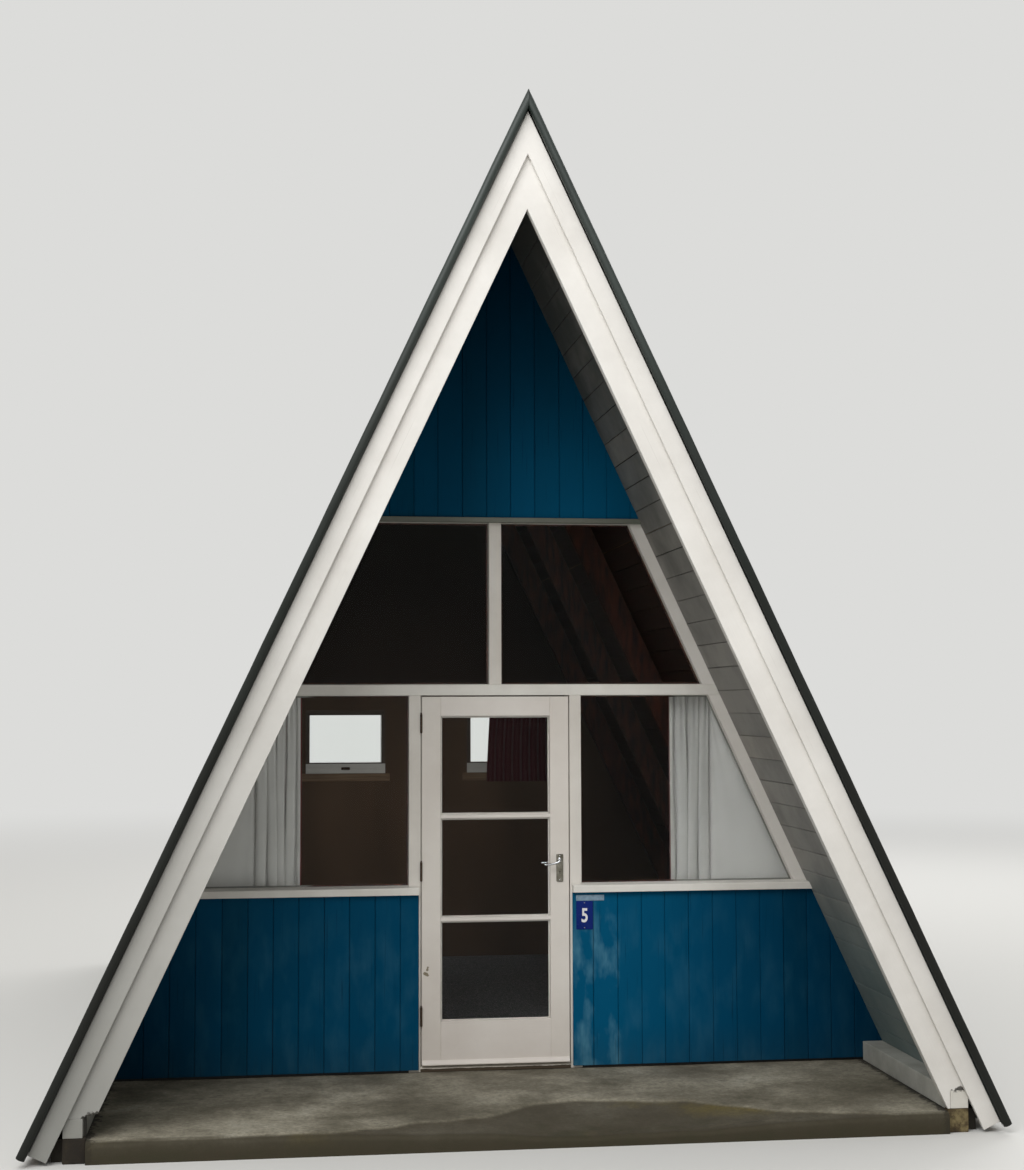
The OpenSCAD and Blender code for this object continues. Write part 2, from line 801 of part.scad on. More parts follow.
// The joint round a closed back sash, as a groove from y on
sash_gap = 2;
sash_groove = 4;
module sash_joint(y) {
    opening_h = bwin_h - bframe_foot - bframe_head;
    along_y(y, y + sash_groove + 1) translate([bwin_x + bframe_side, z_bwin + bframe_foot]) difference() {
        translate([-bsash_side - sash_gap, -bsash_foot - sash_gap])
            square([bwin_w - 2 * bframe_side + 2 * (bsash_side + sash_gap),
                opening_h + bsash_foot + bsash_head + 2 * sash_gap]);
        translate([-bsash_side, -bsash_foot])
            square([bwin_w - 2 * bframe_side + 2 * bsash_side, opening_h + bsash_foot + bsash_head]);
    }
}

// The space of one back pane, grown by g
module back_pane_space(g) {
    e = groove_d - 1 + g;
    translate([bwin_x + bframe_side - e, y_back_wall - glass_t - g, z_bwin + bframe_foot - e])
        cube([bwin_w - 2 * bframe_side + 2 * e, glass_t + 2 * g,
            bwin_h - bframe_foot - bframe_head + 2 * e]);
}

// Panes of the back windows
module rear_panes() {
    color("#5d7f76") for (side = [-1, 1]) mirror([side < 0 ? 1 : 0, 0, 0]) back_pane_space(0);
}

// Curtain tracks behind the transom and over a back window
y_curtain = y_room + 4;
back_curtain_x0 = bwin_x + 150;
back_curtain_x1 = bwin_x + bwin_w + 40;
z_back_track = z_bwin + bwin_h + 24;
module curtain_tracks() {
    x1 = frame_x(z_transom, z_sill_top, z_transom) - 10;
    color("#cfcdc8") {
        for (side = [-1, 1]) translate([side > 0 ? post_x - 40 : -x1, y_room, z_transom + 20])
            cube([x1 - post_x + 40, track_s, track_s]);
        translate([bwin_x - 40, y_back_in - track_s, z_back_track])
            cube([bwin_w + 80, track_s, track_s]);
    }
}

// Curtains drawn back to the slope, each hanging from its track
curtain_in = 990;
curtain_low = 70;
module curtain_front(side) {
    z0 = z_sill - curtain_low;
    z1 = z_transom + 20 - touch;
    color("#dcd9d6") mirror([side < 0 ? 1 : 0, 0, 0]) along_y(y_curtain, y_curtain + curtain_t)
        polygon([[curtain_in, z0], [slope_x(z0) - 60, z0], [slope_x(z1) - 60, z1], [curtain_in, z1]]);
}
module curtain_rear() {
    z0 = z_bwin - 70;
    color("#3b1216") translate([back_curtain_x0, y_back_in - 10 - curtain_t, z0])
        cube([back_curtain_x1 - back_curtain_x0, curtain_t, z_back_track - touch - z0]);
}

floor_slab();
corner_piers();
carpet();
toe_board(-1);  // toe_board_left
toe_board(1);  // toe_board_right
foot_blocks();
front_barge_rafters();  // barge_rafters_front
barge_rafters(y_rear - barge_t - rafter_t);  // barge_rafters_rear
rafters(-1);  // rafters_left
rafters(1);  // rafters_right
ridge_board();
lining(-1);  // lining_left
lining(1);  // lining_right
battens(-1);  // battens_left
battens(1);  // battens_right
roofing(-1);  // roofing_left
roofing(1);  // roofing_right
ridge_cap();
barge_caps(true);  // barge_caps_front
barge_caps(false);  // barge_caps_rear
barge_boards(y_front);  // barge_boards_front
barge_boards(y_rear - barge_t);  // barge_boards_rear
front_wall(-1);  // front_wall_left
front_wall(1);  // front_wall_right
front_cladding(-1);  // front_cladding_left
front_cladding(1);  // front_cladding_right
gable_wall();
gable_cladding();
door_post(-1);  // door_post_left
door_post(1);  // door_post_right
threshold();
transom();
mullion();
gable_rail();
slope_frame(-1);  // slope_frame_left
slope_frame(1);  // slope_frame_right
sill(-1);  // sill_left
sill(1);  // sill_right
upper_panes();
lower_panes();
door_leaf();
door_glass();
weather_bar();
hinge_frame_halves();
hinge_door_halves();
handle_plates();
lever_handles();
number_plate();
name_strip();
rear_wall();
rear_cladding();
rear_window_frames();
rear_panes();
curtain_front(-1);  // curtain_front_left
curtain_front(1);  // curtain_front_right
curtain_rear();
curtain_tracks();
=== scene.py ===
# %% [markdown]
# # A small A-frame cabin
# The CAD model gives every beam, board and pane its true place. This script dresses it: boards with
# real joints, corrugated iron with laps and screws, eased edges, putty, cloth and weathered paint.
# Everything is in metres in the CAD's own frame, so nothing has to be fitted by hand.

# %% Load the frame
import math

import bmesh
import bpy
import numpy as np
from mathutils import Matrix, Vector


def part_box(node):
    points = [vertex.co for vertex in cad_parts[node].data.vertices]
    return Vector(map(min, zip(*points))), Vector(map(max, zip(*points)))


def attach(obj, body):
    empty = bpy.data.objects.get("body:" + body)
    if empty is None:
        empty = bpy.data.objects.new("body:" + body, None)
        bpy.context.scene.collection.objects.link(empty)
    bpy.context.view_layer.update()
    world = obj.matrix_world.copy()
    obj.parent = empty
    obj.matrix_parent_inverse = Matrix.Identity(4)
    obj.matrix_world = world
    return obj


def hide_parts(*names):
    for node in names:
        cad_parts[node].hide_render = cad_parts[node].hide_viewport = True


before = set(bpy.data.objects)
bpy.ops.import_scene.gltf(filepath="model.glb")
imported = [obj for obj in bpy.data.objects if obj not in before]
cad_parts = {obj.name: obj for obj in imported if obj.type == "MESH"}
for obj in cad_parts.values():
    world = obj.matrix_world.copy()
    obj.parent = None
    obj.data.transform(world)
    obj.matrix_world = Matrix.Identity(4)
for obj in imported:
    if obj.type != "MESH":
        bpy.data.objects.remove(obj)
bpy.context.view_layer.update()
rng = np.random.default_rng(5)

# %% [markdown]
# The cabin is ruled by one slope. Its pitch and the apex of the lining place almost every board, so
# they are read once from the CAD boxes, together with the planes of the walls, the slab and the door.
# Typed numbers would look the same, but would stay behind when the model changes.

# %% Main planes of the cabin
PITCH = math.radians(64.9)
SIN, COS, TAN = math.sin(PITCH), math.cos(PITCH), math.tan(PITCH)
SIDES = (("left", -1), ("right", 1))
LINING, BOARD = 0.020, 0.018  # thickness of a lining board and of a wall board
IRON = 0.058  # from the lining's face out to the valleys of the iron
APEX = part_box("lining_left")[1].z - LINING / COS
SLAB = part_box("floor_slab")[1].z
EAVE = (APEX - SLAB) / SIN + 0.086  # the slope runs on 86 mm below the slab's top
FRONT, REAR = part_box("barge_boards_front")[0].y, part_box("barge_boards_rear")[1].y
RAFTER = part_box("barge_rafters_front")[0].y
WALL, ROOM = (corner.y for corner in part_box("front_wall_left"))
INNER_FACE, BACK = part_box("rear_wall")[0].y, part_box("rear_cladding")[0].y
SILL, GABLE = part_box("sill_left")[0].z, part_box("gable_cladding")[0].z
FOOT_LOW, FOOT_TOP = (corner.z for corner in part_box("foot_blocks"))
TOE_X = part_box("toe_board_right")[0].x
LEAF_LOW, LEAF_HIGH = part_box("door_leaf")
print(f"apex {APEX:.3f}, slab {SLAB:.3f}, wall {WALL:.3f}, slope {EAVE:.3f}")


def half_width(z):
    """Distance from the middle line to the lining at height z: (apex - z) / tan(pitch)."""
    return (APEX - z) / TAN


def on_slope(side, s, y, n):
    """A point s down one slope from the apex and n out from the lining:
    x = side (s cos + n sin), z = apex - s sin + n cos."""
    s, y, n = np.broadcast_arrays(s, y, n)
    return np.stack([side * (s * COS + n * SIN), y, APEX - s * SIN + n * COS], -1)


# %% [markdown]
# Two kinds of solid make nearly all the new pieces. A bar is a section carried along a path, such as
# a board or a handle. A shell is a surface with a second surface under it, such as sheet steel or
# cloth. Both are grids, so numpy writes all their faces at once, and no loop walks over points.

# %% Grids to solids
def bars(points):
    """Closed bars from points[bar, station, corner, xyz]: quads between neighbouring stations and
    corners, and one flat face at each end."""
    count, stations, corners, _ = points.shape
    index = np.arange(count * stations * corners).reshape(count, stations, corners)
    near, ahead = index[:, :-1], index[:, 1:]
    quads = np.stack([near, np.roll(near, -1, 2), np.roll(ahead, -1, 2), ahead], -1)
    ends = np.concatenate([index[:, 0, ::-1], index[:, -1]])
    return points.reshape(-1, 3), quads.reshape(-1, 4).tolist() + ends.tolist()


def shell(outer, inner):
    """A closed sheet between two grids of one shape [row, column, xyz]: both faces, and a strip of
    quads round the border."""
    rows, columns, _ = outer.shape
    index = np.arange(rows * columns).reshape(rows, columns)
    face = np.stack([index[:-1, :-1], index[1:, :-1], index[1:, 1:], index[:-1, 1:]], -1).reshape(-1, 4)
    rim = np.concatenate([index[0, :-1], index[:-1, -1], index[-1, :0:-1], index[:0:-1, 0]])
    step = np.roll(rim, -1)
    under = rows * columns
    border = np.stack([rim, step, step + under, rim + under], -1)
    faces = np.concatenate([face, face[:, ::-1] + under, border])
    return np.concatenate([outer.reshape(-1, 3), inner.reshape(-1, 3)]), faces.tolist()


def join(*shapes):
    """Several (points, faces) as one."""
    points, faces, start = [], [], 0
    for some_points, some_faces in shapes:
        points.append(some_points)
        faces += [[i + start for i in face] for face in some_faces]
        start += len(some_points)
    return np.concatenate(points), faces


print("faces of a square bar:", len(bars(np.zeros((1, 2, 4, 3)))[1]))

# %% [markdown]
# Every new piece goes through one function. It turns the faces outwards, shades them smooth between
# real edges, hangs the piece on its CAD body and hides the CAD nodes it stands for.

# %% Make and place pieces
def in_scene(name, data):
    """A new object in the scene, at the origin."""
    thing = bpy.data.objects.new(name, data)
    bpy.context.scene.collection.objects.link(thing)
    return thing


def hang(piece, material, body, replaced, sharp):
    """Gives a piece its finish, body, slot and smooth shading between edges."""
    piece.data.materials.clear()
    piece.data.materials.append(material)
    piece.data.shade_smooth()
    piece.data.set_sharp_from_angle(angle=math.radians(sharp))
    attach(piece, body)
    if replaced:
        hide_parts(*replaced)
    print("piece", piece.name, "faces", len(piece.data.polygons))
    return piece


def make(name, shape, material, body="root", replaced=(), sharp=35, tint=None):
    """A piece from (points, faces). tint is one number a vertex, which the finish may read."""
    mesh = bpy.data.meshes.new(name)
    mesh.from_pydata(shape[0].tolist(), [], shape[1])
    work = bmesh.new()
    work.from_mesh(mesh)
    bmesh.ops.recalc_face_normals(work, faces=work.faces)
    work.to_mesh(mesh)
    work.free()
    if tint is not None:
        mesh.attributes.new("tint", "FLOAT", "POINT").data.foreach_set("value", tint.astype(np.float32))
    return hang(in_scene(name, mesh), material, body, replaced, sharp)


# %% [markdown]
# Finishes are written as node trees. Colours are sRGB hex values, as a colour picker shows them, and
# one function turns them to linear light. One function adds a node, sets it and links it, so that a
# tree reads as a list of steps, and can be laid over another surface as it is.

# %% Colours and nodes
def linear(code):
    """sRGB hex to linear RGBA: c / 12.92 below 0.04045, else ((c + 0.055) / 1.055) ^ 2.4."""
    c = np.array([int(code[i : i + 2], 16) for i in (1, 3, 5)]) / 255
    c = np.where(c <= 0.04045, c / 12.92, ((c + 0.055) / 1.055) ** 2.4)
    return (*c.tolist(), 1.0)


def socket(sockets, key):
    """The socket of that name or number among those in use."""
    used = [s for s in sockets if s.enabled]
    return used[key] if isinstance(key, int) else next(s for s in used if s.name == key.replace("_", " "))


def add(tree, kind, *values, stops=(), **named):
    """Adds a node and returns its first output. values go into its inputs in order. A name in small
    letters sets a property, and one with a capital fills that input, with _ for a space. An input
    takes a number, a hex colour or another node's output. stops are places and colours of a ramp."""
    node = tree.nodes.new("ShaderNode" + kind)
    for key in [key for key in named if key.islower()]:
        setattr(node, key, named.pop(key))
    ramp = node.color_ramp.elements if stops else []
    while len(ramp) < len(stops):
        ramp.new(0.5)
    for element, (position, colour) in zip(ramp, stops):
        element.position, element.color = position, linear(colour)
    for key, value in [*enumerate(values), *named.items()]:
        target = socket(node.inputs, key)
        if isinstance(value, bpy.types.NodeSocket):
            tree.links.new(value, target)
        else:
            target.default_value = linear(value) if isinstance(value, str) else value
    return socket(node.outputs, 0)


print("middle grey in linear light:", round(linear("#808080")[0], 3))

# %% [markdown]
# A finish is a material whose Principled shader starts from typical values for what the real surface
# is made of. Patterns read the Object coordinates, which are metres on the building for every piece,
# so that grain and dirt run on from one piece to the next and no UV map is needed.

# %% Materials
def finish(name, **inputs):
    """A new material with its Principled shader set: returns it, its tree and the Object
    coordinates."""
    material = bpy.data.materials.new(name)
    material.use_nodes = True
    tree = material.node_tree
    shader = tree.nodes["Principled BSDF"]
    for key, value in inputs.items():
        value = linear(value) if isinstance(value, str) else value
        shader.inputs[key.replace("_", " ")].default_value = value
    print("finish", name)
    return material, tree, add(tree, "TexCoord").node.outputs["Object"]


def plug(material, **sockets):
    """Links outputs to the inputs of a material's Principled shader."""
    tree = material.node_tree
    for key, value in sockets.items():
        tree.links.new(value, tree.nodes["Principled BSDF"].inputs[key.replace("_", " ")])
    return material


# %% [markdown]
# The camera stands where the photograph was taken: about 9.8 m in front of the wall, 2 m over the
# slab, turned 7.7 degrees to the right and tilted up a little. Its lens was fitted to the
# photograph's lines, because a camera set by eye would bend every slope of the cabin.

# %% Camera
CAMERA_TURN, CAMERA_TILT, CAMERA_ROLL = (math.radians(a) for a in (-7.702, 3.773, -0.165))
lens = bpy.data.cameras.new("camera")
lens.lens = 55.506
lens.sensor_width = 36
lens.clip_end = 300
camera = in_scene("camera", lens)
camera.matrix_world = (
    Matrix.Translation((-1.2358, WALL - 9.8311, SLAB + 1.9754))
    @ Matrix.Rotation(CAMERA_TURN, 4, "Z")
    @ Matrix.Rotation(math.pi / 2 + CAMERA_TILT, 4, "X")
    @ Matrix.Rotation(CAMERA_ROLL, 4, "Z")
)
bpy.context.scene.camera = camera
print("camera at", [round(v, 3) for v in camera.matrix_world.translation])

# %% [markdown]
# The light is that of a bright overcast day: soft, from above and a little from the left, with the
# porch in its own shade. A pale world and two large softboxes repeat it. The world is brighter
# overhead than at the horizon, and the camera, mirrors and glass see it as a plain backdrop.

# %% World and softboxes
bpy.context.scene.view_settings.view_transform = "Standard"
BACKDROP = "#dcdcda"
HORIZON_LEVEL, ZENITH_LEVEL = 0.34, 1.12


def backdrop_seen(tree):
    """1 for rays from the camera, and for those that a mirror or glass sends on."""
    rays = add(tree, "LightPath").node.outputs
    seen = add(tree, "Math", rays["Is Camera Ray"], rays["Is Glossy Ray"], operation="MAXIMUM")
    return add(tree, "Math", seen, rays["Is Transmission Ray"], operation="MAXIMUM")


def softbox(name, place, aim, size, power):
    """A rectangular area lamp of that size at place, turned towards aim."""
    lamp = bpy.data.lights.new(name, "AREA")
    lamp.shape = "RECTANGLE"
    lamp.size, lamp.size_y = size
    lamp.energy = power
    holder = in_scene(name, lamp)
    turn = (Vector(place) - Vector(aim)).to_track_quat("Z", "Y").to_matrix().to_4x4()
    holder.matrix_world = Matrix.Translation(place) @ turn
    return holder


world = bpy.data.worlds.new("studio")
bpy.context.scene.world = world
world.use_nodes = True
tree = world.node_tree
up = add(tree, "SeparateXYZ", add(tree, "TexCoord").node.outputs["Object"]).node.outputs["Z"]
sky = add(tree, "MapRange", up, -0.05, 0.95, HORIZON_LEVEL, ZENITH_LEVEL, interpolation_type="SMOOTHSTEP")
level = add(tree, "Mix", backdrop_seen(tree), sky, 1.0, data_type="FLOAT")
tree.links.new(level, tree.nodes["Background"].inputs["Strength"])
tree.nodes["Background"].inputs["Color"].default_value = linear(BACKDROP)
softbox("sky_front_left", (-5.2, -12.5, 12.0), (0.3, -2.0, 1.8), (13.0, 8.0), 1790)
softbox("sky_back_right", (8.0, 11.0, 11.0), (0.0, 0.0, 2.0), (12.0, 8.0), 1100)

# %% [markdown]
# A weak lamp stands in for the daylight that the windows let into the room, because light finds its
# way through glass slowly in a path tracer. The floor keeps the cabin's shadow near by and fades
# into the backdrop with distance, so that no horizon line shows.

# %% Room lamp and floor
room_light = softbox("room", (0.0, ROOM + 0.35, SLAB + 1.55), (-0.35, BACK, SLAB + 1.20), (1.0, 0.4), 2.8)
room_light.data.spread = math.radians(50)
room_light.visible_camera = room_light.visible_glossy = room_light.visible_transmission = False

floor_finish, tree, place = finish("studio floor", Base_Color="#cfcecb", Roughness=0.9)
reach = add(tree, "VectorMath", place, operation="LENGTH")
fade = add(tree, "MapRange", reach, 5.0, 26.0, interpolation_type="SMOOTHSTEP")
fade = add(tree, "Math", fade, backdrop_seen(tree), operation="MULTIPLY")
floor_shader = tree.nodes["Principled BSDF"].outputs[0]
mixed = add(tree, "MixShader", fade, floor_shader, add(tree, "Emission", BACKDROP))
tree.links.new(mixed, tree.nodes["Material Output"].inputs["Surface"])
mesh = bpy.data.meshes.new("studio_floor")
mesh.from_pydata([(-80, -80, 0), (80, -80, 0), (80, 80, 0), (-80, 80, 0)], [], [(0, 1, 2, 3)])
mesh.materials.append(floor_finish)
floor = in_scene("studio_floor", mesh)
print("lamps:", len(bpy.data.lights))

# %% [markdown]
# Paint, dirt and wear are thin films, one on the other. A film is a colour that covers more as some
# measure grows, such as height, noise or the distance from a door. Streaks are noise drawn out along
# the grain or the fall of rain. Pictures of real surfaces could be laid on instead, but these films
# follow the true heights and places on the building.

# %% Films and streaks
def films(tree, colour, *layers):
    """Lays films over a colour, one on the other. Each is (shade, share), or (shade, share, measure,
    a, b), where the share grows from none, where the measure is a, to all of it at b."""
    for shade, share, *span in layers:
        if span:
            share = add(tree, "MapRange", *span, 0.0, share)
        colour = add(tree, "Mix", share, colour, shade, data_type="RGBA")
    return colour


def streaks(tree, place, lines, detail=5.0, roughness=0.5):
    """Noise drawn out along an axis. lines is how many of its waves there are to a metre of x, y
    and z."""
    drawn = add(tree, "Mapping", place, Scale=lines)
    return add(tree, "TexNoise", drawn, Scale=1.0, Detail=detail, Roughness=roughness)


print("finishes before the paints:", len(bpy.data.materials))

# %% [markdown]
# White gloss paint on timber. Brushed paint shows the grain under it as a faint relief, and years
# outdoors add a warm film of dirt in soft patches, darker near the ground, and fine dark checks
# along the grain. The grain runs along the member, so the finish is made once for each direction.
# On a slope the coordinates are first folded to one side and turned by the pitch.

# %% White paint
ACROSS_GRAIN, ALONG_GRAIN = 170.0, 2.0  # waves to a metre


def white_paint(name, colour, dirty, along, relief=0.4, soil=0.5, reach=0.75, checks=0.16, left_shade=0.0):
    """Oil gloss paint, brushed on timber whose grain runs along "x", "y", "z" or down the "slope".
    Dirt splashed up from the ground ends at height reach. left_shade is the strength of a grey
    painted shade that thickens to the lower left."""
    material, tree, place = finish(name, Roughness=0.42)
    x, y, z = add(tree, "SeparateXYZ", place).node.outputs
    if along == "slope":
        folded = add(tree, "CombineXYZ", add(tree, "Math", x, operation="ABSOLUTE"), y, z)
        place = add(tree, "Mapping", folded, Rotation=(0, -PITCH, 0))
        along = "x"
    grain = streaks(tree, place, [ALONG_GRAIN if axis == along else ACROSS_GRAIN for axis in "xyz"], 4.0)
    patch = add(tree, "TexNoise", place, Scale=2.2, Detail=6.0, Roughness=0.62)
    low = add(tree, "MapRange", z, reach, 0.05, To_Max=0.34)
    dirt = add(tree, "Math", patch, low, operation="ADD")
    paint = films(tree, colour,
                  (dirty, soil, dirt, 0.42, 0.92),
                  # painted shade that thickens to the lower left
                  ("#6f706b", left_shade, x, -0.7, -2.15),
                  ("#7d766a", checks, grain, 0.30, 0.24))
    gloss = add(tree, "MapRange", patch, 0.3, 0.7, 0.34, 0.58)
    bump = add(tree, "Bump", Strength=relief, Distance=0.0012, Height=grain)
    return plug(material, Base_Color=paint, Roughness=gloss, Normal=bump)


print(f"grain lines {1000 / ACROSS_GRAIN:.0f} mm apart and {1 / ALONG_GRAIN:.1f} m long")

# %% [markdown]
# The end rafters, barge boards and foot blocks are sawn and stand in the rain. A grey film on their
# left side stands for the deeper shade that the photograph shows there. At the feet each rafter was
# cut off over a block, and the end grain at the cut has rotted nearly black. A ball in space marks
# each rotten place, and noise breaks its rim. Balls set deeper, in the hole at the right foot and
# behind the left stub, are painted shade in those hollows. A mask painted by hand would need UV maps,
# which the CAD pieces don't have.

# %% Paint of the barges and feet
def reopen(material):
    """Tree, Object coordinates and present colour of a finish, so that more can be laid on it."""
    tree = material.node_tree
    colour = tree.nodes["Principled BSDF"].inputs["Base Color"].links[0].from_socket
    return tree, add(tree, "TexCoord").node.outputs["Object"], colour


def rotten(material, spots, shade="#1f1a11"):
    """Lays the shade on a finish in balls of (x, y, z, radius). Its share falls off where
    distance / radius + noise passes from 1.35 to 1.55."""
    tree, place, colour = reopen(material)
    rim = add(tree, "TexNoise", place, Scale=90.0, Detail=6.0, Roughness=0.7)
    for x, y, z, radius in spots:
        away = add(tree, "VectorMath", place, (x, y, z), operation="DISTANCE")
        away = add(tree, "Math", away, radius, operation="DIVIDE")
        away = add(tree, "Math", away, rim, operation="ADD")
        colour = films(tree, colour, (shade, 0.92, away, 1.55, 1.35))
    return plug(material, Base_Color=colour)


WHITE, SOILED = "#e4e1dc", "#a8a299"
CUT_X, CUT_Z = 2.109, FOOT_TOP + 0.002  # the hole at the right foot
# the barges, feet and blocks carry painted shade towards the lower left
sawn = dict(along="slope", relief=0.35, soil=0.4, reach=3.6, left_shade=0.84)
barge_paint = white_paint("white gloss paint on sawn barge boards", WHITE, SOILED, **sawn)
foot_paint = white_paint("white gloss paint with rot and painted shade at the feet", WHITE, SOILED, **sawn)
# rot at the cut end grain, and painted shade deep in the hole and behind the left stub
rotten(foot_paint, [
    (CUT_X, RAFTER + 0.010, CUT_Z + 0.002, 0.020),
    (CUT_X, RAFTER + 0.035, CUT_Z, 0.026),
    (CUT_X - 0.019, RAFTER + 0.008, CUT_Z, 0.013),
    (CUT_X + 0.020, RAFTER + 0.008, CUT_Z, 0.014),
    (CUT_X - 0.043, RAFTER, CUT_Z - 0.001, 0.005),
    *[(-2.057 + 0.0153 * i, RAFTER + 0.002, CUT_Z + 0.005 * i, 0.011) for i in range(5)],
    (-2.026, RAFTER + 0.030, CUT_Z + 0.010, 0.034),
])
block_paint = white_paint(
    "cracked white paint on the foot blocks", "#dbd8d0", "#8f887b", "x", 1.0, 0.6, checks=0.5, left_shade=0.84
)
# painted shade in the hole over the block's top, with rot at its edge
rotten(block_paint, [
    *[(CUT_X + off, RAFTER + 0.022, CUT_Z, 0.024) for off in (-0.024, 0.0, 0.023)],
    (CUT_X, RAFTER + 0.040, CUT_Z, 0.030),
])
toe_paint = white_paint("old white paint on the toe boards", "#cdccc4", "#77756a", "y", 0.5, 0.8)
# mould and painted shade on the toe board's end beside the left foot
rotten(toe_paint, [(-2.05, RAFTER + 0.055, 0.15, 0.06), (-2.02, RAFTER + 0.055, 0.20, 0.04)])

# %% [markdown]
# The frames, posts, rails and the door are planed, so their paint is smoother. Each has its own white,
# which holds its dirt and the painted light and shade of its place. Two chips on the door's hinge stile
# show the bare wood.
# The sashes of the back windows are painted brown on their room side: one more film, whose share is
# a test on the coordinates, so that each sash can stay one piece with one finish.

# %% Paint of the frames, door and sashes
frame_paint = white_paint(
    "white gloss paint on sloping window frames", "#e1ddd7", "#a59d90", "slope", 0.25, 0.4
)
upright_paint = white_paint("white gloss paint on planed uprights", "#dfdad2", "#a2988a", "z", 0.25)
level_paint = white_paint("white gloss paint on planed rails", "#e5e2db", "#9c9387", "x", 0.25)
# the rail's grey is mould and painted shade under the deep overhang
rail_paint = white_paint("mouldy white paint on the gable rail", "#6c6f64", "#4b4d42", "x", 0.4, 0.9)
door_rail_paint = white_paint("white gloss paint on the door rails", "#e3ddd6", "#ab9c90", "x", 0.2, 0.35)
door_paint = white_paint("white gloss paint on the door", "#e1dbd3", "#ab9c90", "z", 0.2, 0.35)
chips = [(-0.387, 0.488, 0.009), (-0.379, 0.484, 0.010), (-0.371, 0.478, 0.006),
         (-0.374, 0.508, 0.0075), (-0.371, 0.520, 0.006)]
rotten(door_paint, [(x, WALL, LEAF_LOW.z + z, radius) for x, z, radius in chips], "#7d7159")


def add_film(material, shade, share_of):
    """Lays one more film on a finish. Its share is share_of(tree, Object coordinates)."""
    tree, place, colour = reopen(material)
    return plug(material, Base_Color=films(tree, colour, (shade, share_of(tree, place))))


def room_side(tree, place):
    """1 on the room side of the back windows above their bottom rails."""
    _, y, z = add(tree, "SeparateXYZ", place).node.outputs
    near = add(tree, "Math", y, INNER_FACE + 0.001, operation="LESS_THAN")
    above = add(tree, "Math", z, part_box("rear_panes")[0].z, operation="GREATER_THAN")
    return add(tree, "Math", near, above, operation="MULTIPLY")


sash_paint = white_paint("white gloss paint on sashes, brown inside", "#c6c3bc", "#8a8277", "x", 0.25)
add_film(sash_paint, "#4a3f36", room_side)

# %% [markdown]
# Feet have worn the threshold's paint to the wood along its lower edge. The worn share is noise drawn
# along the board plus a measure that grows towards the floor, cut off sharply, as paint flakes.

# %% Paint of the threshold
step_paint, tree, place = finish("worn white paint on the threshold", Roughness=0.55)
z = add(tree, "SeparateXYZ", place).node.outputs["Z"]
wear = streaks(tree, place, (14.0, 60.0, 60.0), 6.0, 0.7)
foot = add(tree, "MapRange", z, SLAB + 0.019, SLAB + 0.011, To_Max=0.55)
bare = add(tree, "MapRange", add(tree, "Math", wear, foot, operation="ADD"), 0.60, 0.72)
bump = add(tree, "Bump", Strength=0.5, Distance=0.001, Height=bare, invert=True)
plug(step_paint, Base_Color=films(tree, "#d3cdc2", ("#3e3223", bare)), Normal=bump)

# %% [markdown]
# The boards on the walls have blue acrylic paint, put on each board before and after it was nailed
# up. Rain and hands have rubbed the boards near the door paler, in marks that run up and down with
# the grain. The measures of that wear are worked out first: streaks, times how near the door it is,
# times how low, and only on the face, so that a board's hidden edges stay as they were painted.

# %% Wear of the blue boards
blue_paint, tree, place = finish(
    "blue acrylic paint on upright boards", Roughness=0.5, Specular_IOR_Level=0.03
)
x, y, z = add(tree, "SeparateXYZ", place).node.outputs
grain = streaks(tree, place, (150.0, 150.0, 3.0))
rub = streaks(tree, place, (40.0, 40.0, 5.0), 7.0, 0.68)
off_door = add(tree, "Math", x, 0.53, operation="SUBTRACT")
off_door = add(tree, "Math", off_door, operation="ABSOLUTE")
near_door = add(tree, "MapRange", off_door, 0.14, 0.16, 1.1, 0.15)
low = add(tree, "MapRange", z, 1.15, 0.75)
near_door = add(tree, "Math", near_door, low, operation="MULTIPLY")
facing = add(tree, "Math", y, WALL + 0.02, operation="LESS_THAN")
near_door = add(tree, "Math", near_door, facing, operation="MULTIPLY")
worn = add(tree, "MapRange", streaks(tree, place, (11.0, 11.0, 5.0), 3.0), 0.46, 0.70)
worn = add(tree, "Math", worn, near_door, operation="MULTIPLY")
worn = add(tree, "Math", worn, rub, operation="MULTIPLY")
splash = add(tree, "MapRange", z, 0.34, 0.10, To_Max=0.45)
splash = add(tree, "Math", splash, rub, operation="MULTIPLY")

# %% [markdown]
# Boards take the paint differently, so each has its own tint, which the mesh carries as an
# attribute. Over it lie the films: painted light that makes the boards brighter near the door, rubbed
# paint, dark grain, splashed dirt, painted shade that grows nearly black under the apex, and painted
# shade at the ends of the wall under the slopes.

# %% Blue boards
tint = add(tree, "Attribute", attribute_name="tint").node.outputs["Fac"]
paint = films(
    tree, add(tree, "ValToRGB", tint, stops=[(0.0, "#01405c"), (0.5, "#014463"), (1.0, "#024869")]),
    # painted light: brighter blue near the door
    ("#045579", 0.8, off_door, 0.7, 0.1),
    ("#5f94a8", worn),
    ("#022034", 0.5, grain, 0.36, 0.26),
    ("#2d3c3c", splash),
    # painted shade: nearly black under the apex
    ("#020a14", 0.75, z, 3.4, 4.7),
    # painted shade at both ends of the wall under the slopes
    ("#00162b", 0.55, x, 0.9, 2.1),
    ("#00162b", 0.55, x, -1.3, -2.0),
)
gloss = add(tree, "MapRange", rub, 0.3, 0.7, 0.42, 0.62)
bump = add(tree, "Bump", Strength=0.45, Distance=0.0012, Height=grain)
plug(blue_paint, Base_Color=paint, Roughness=gloss, Normal=bump)
print("nodes in the blue paint:", len(tree.nodes))
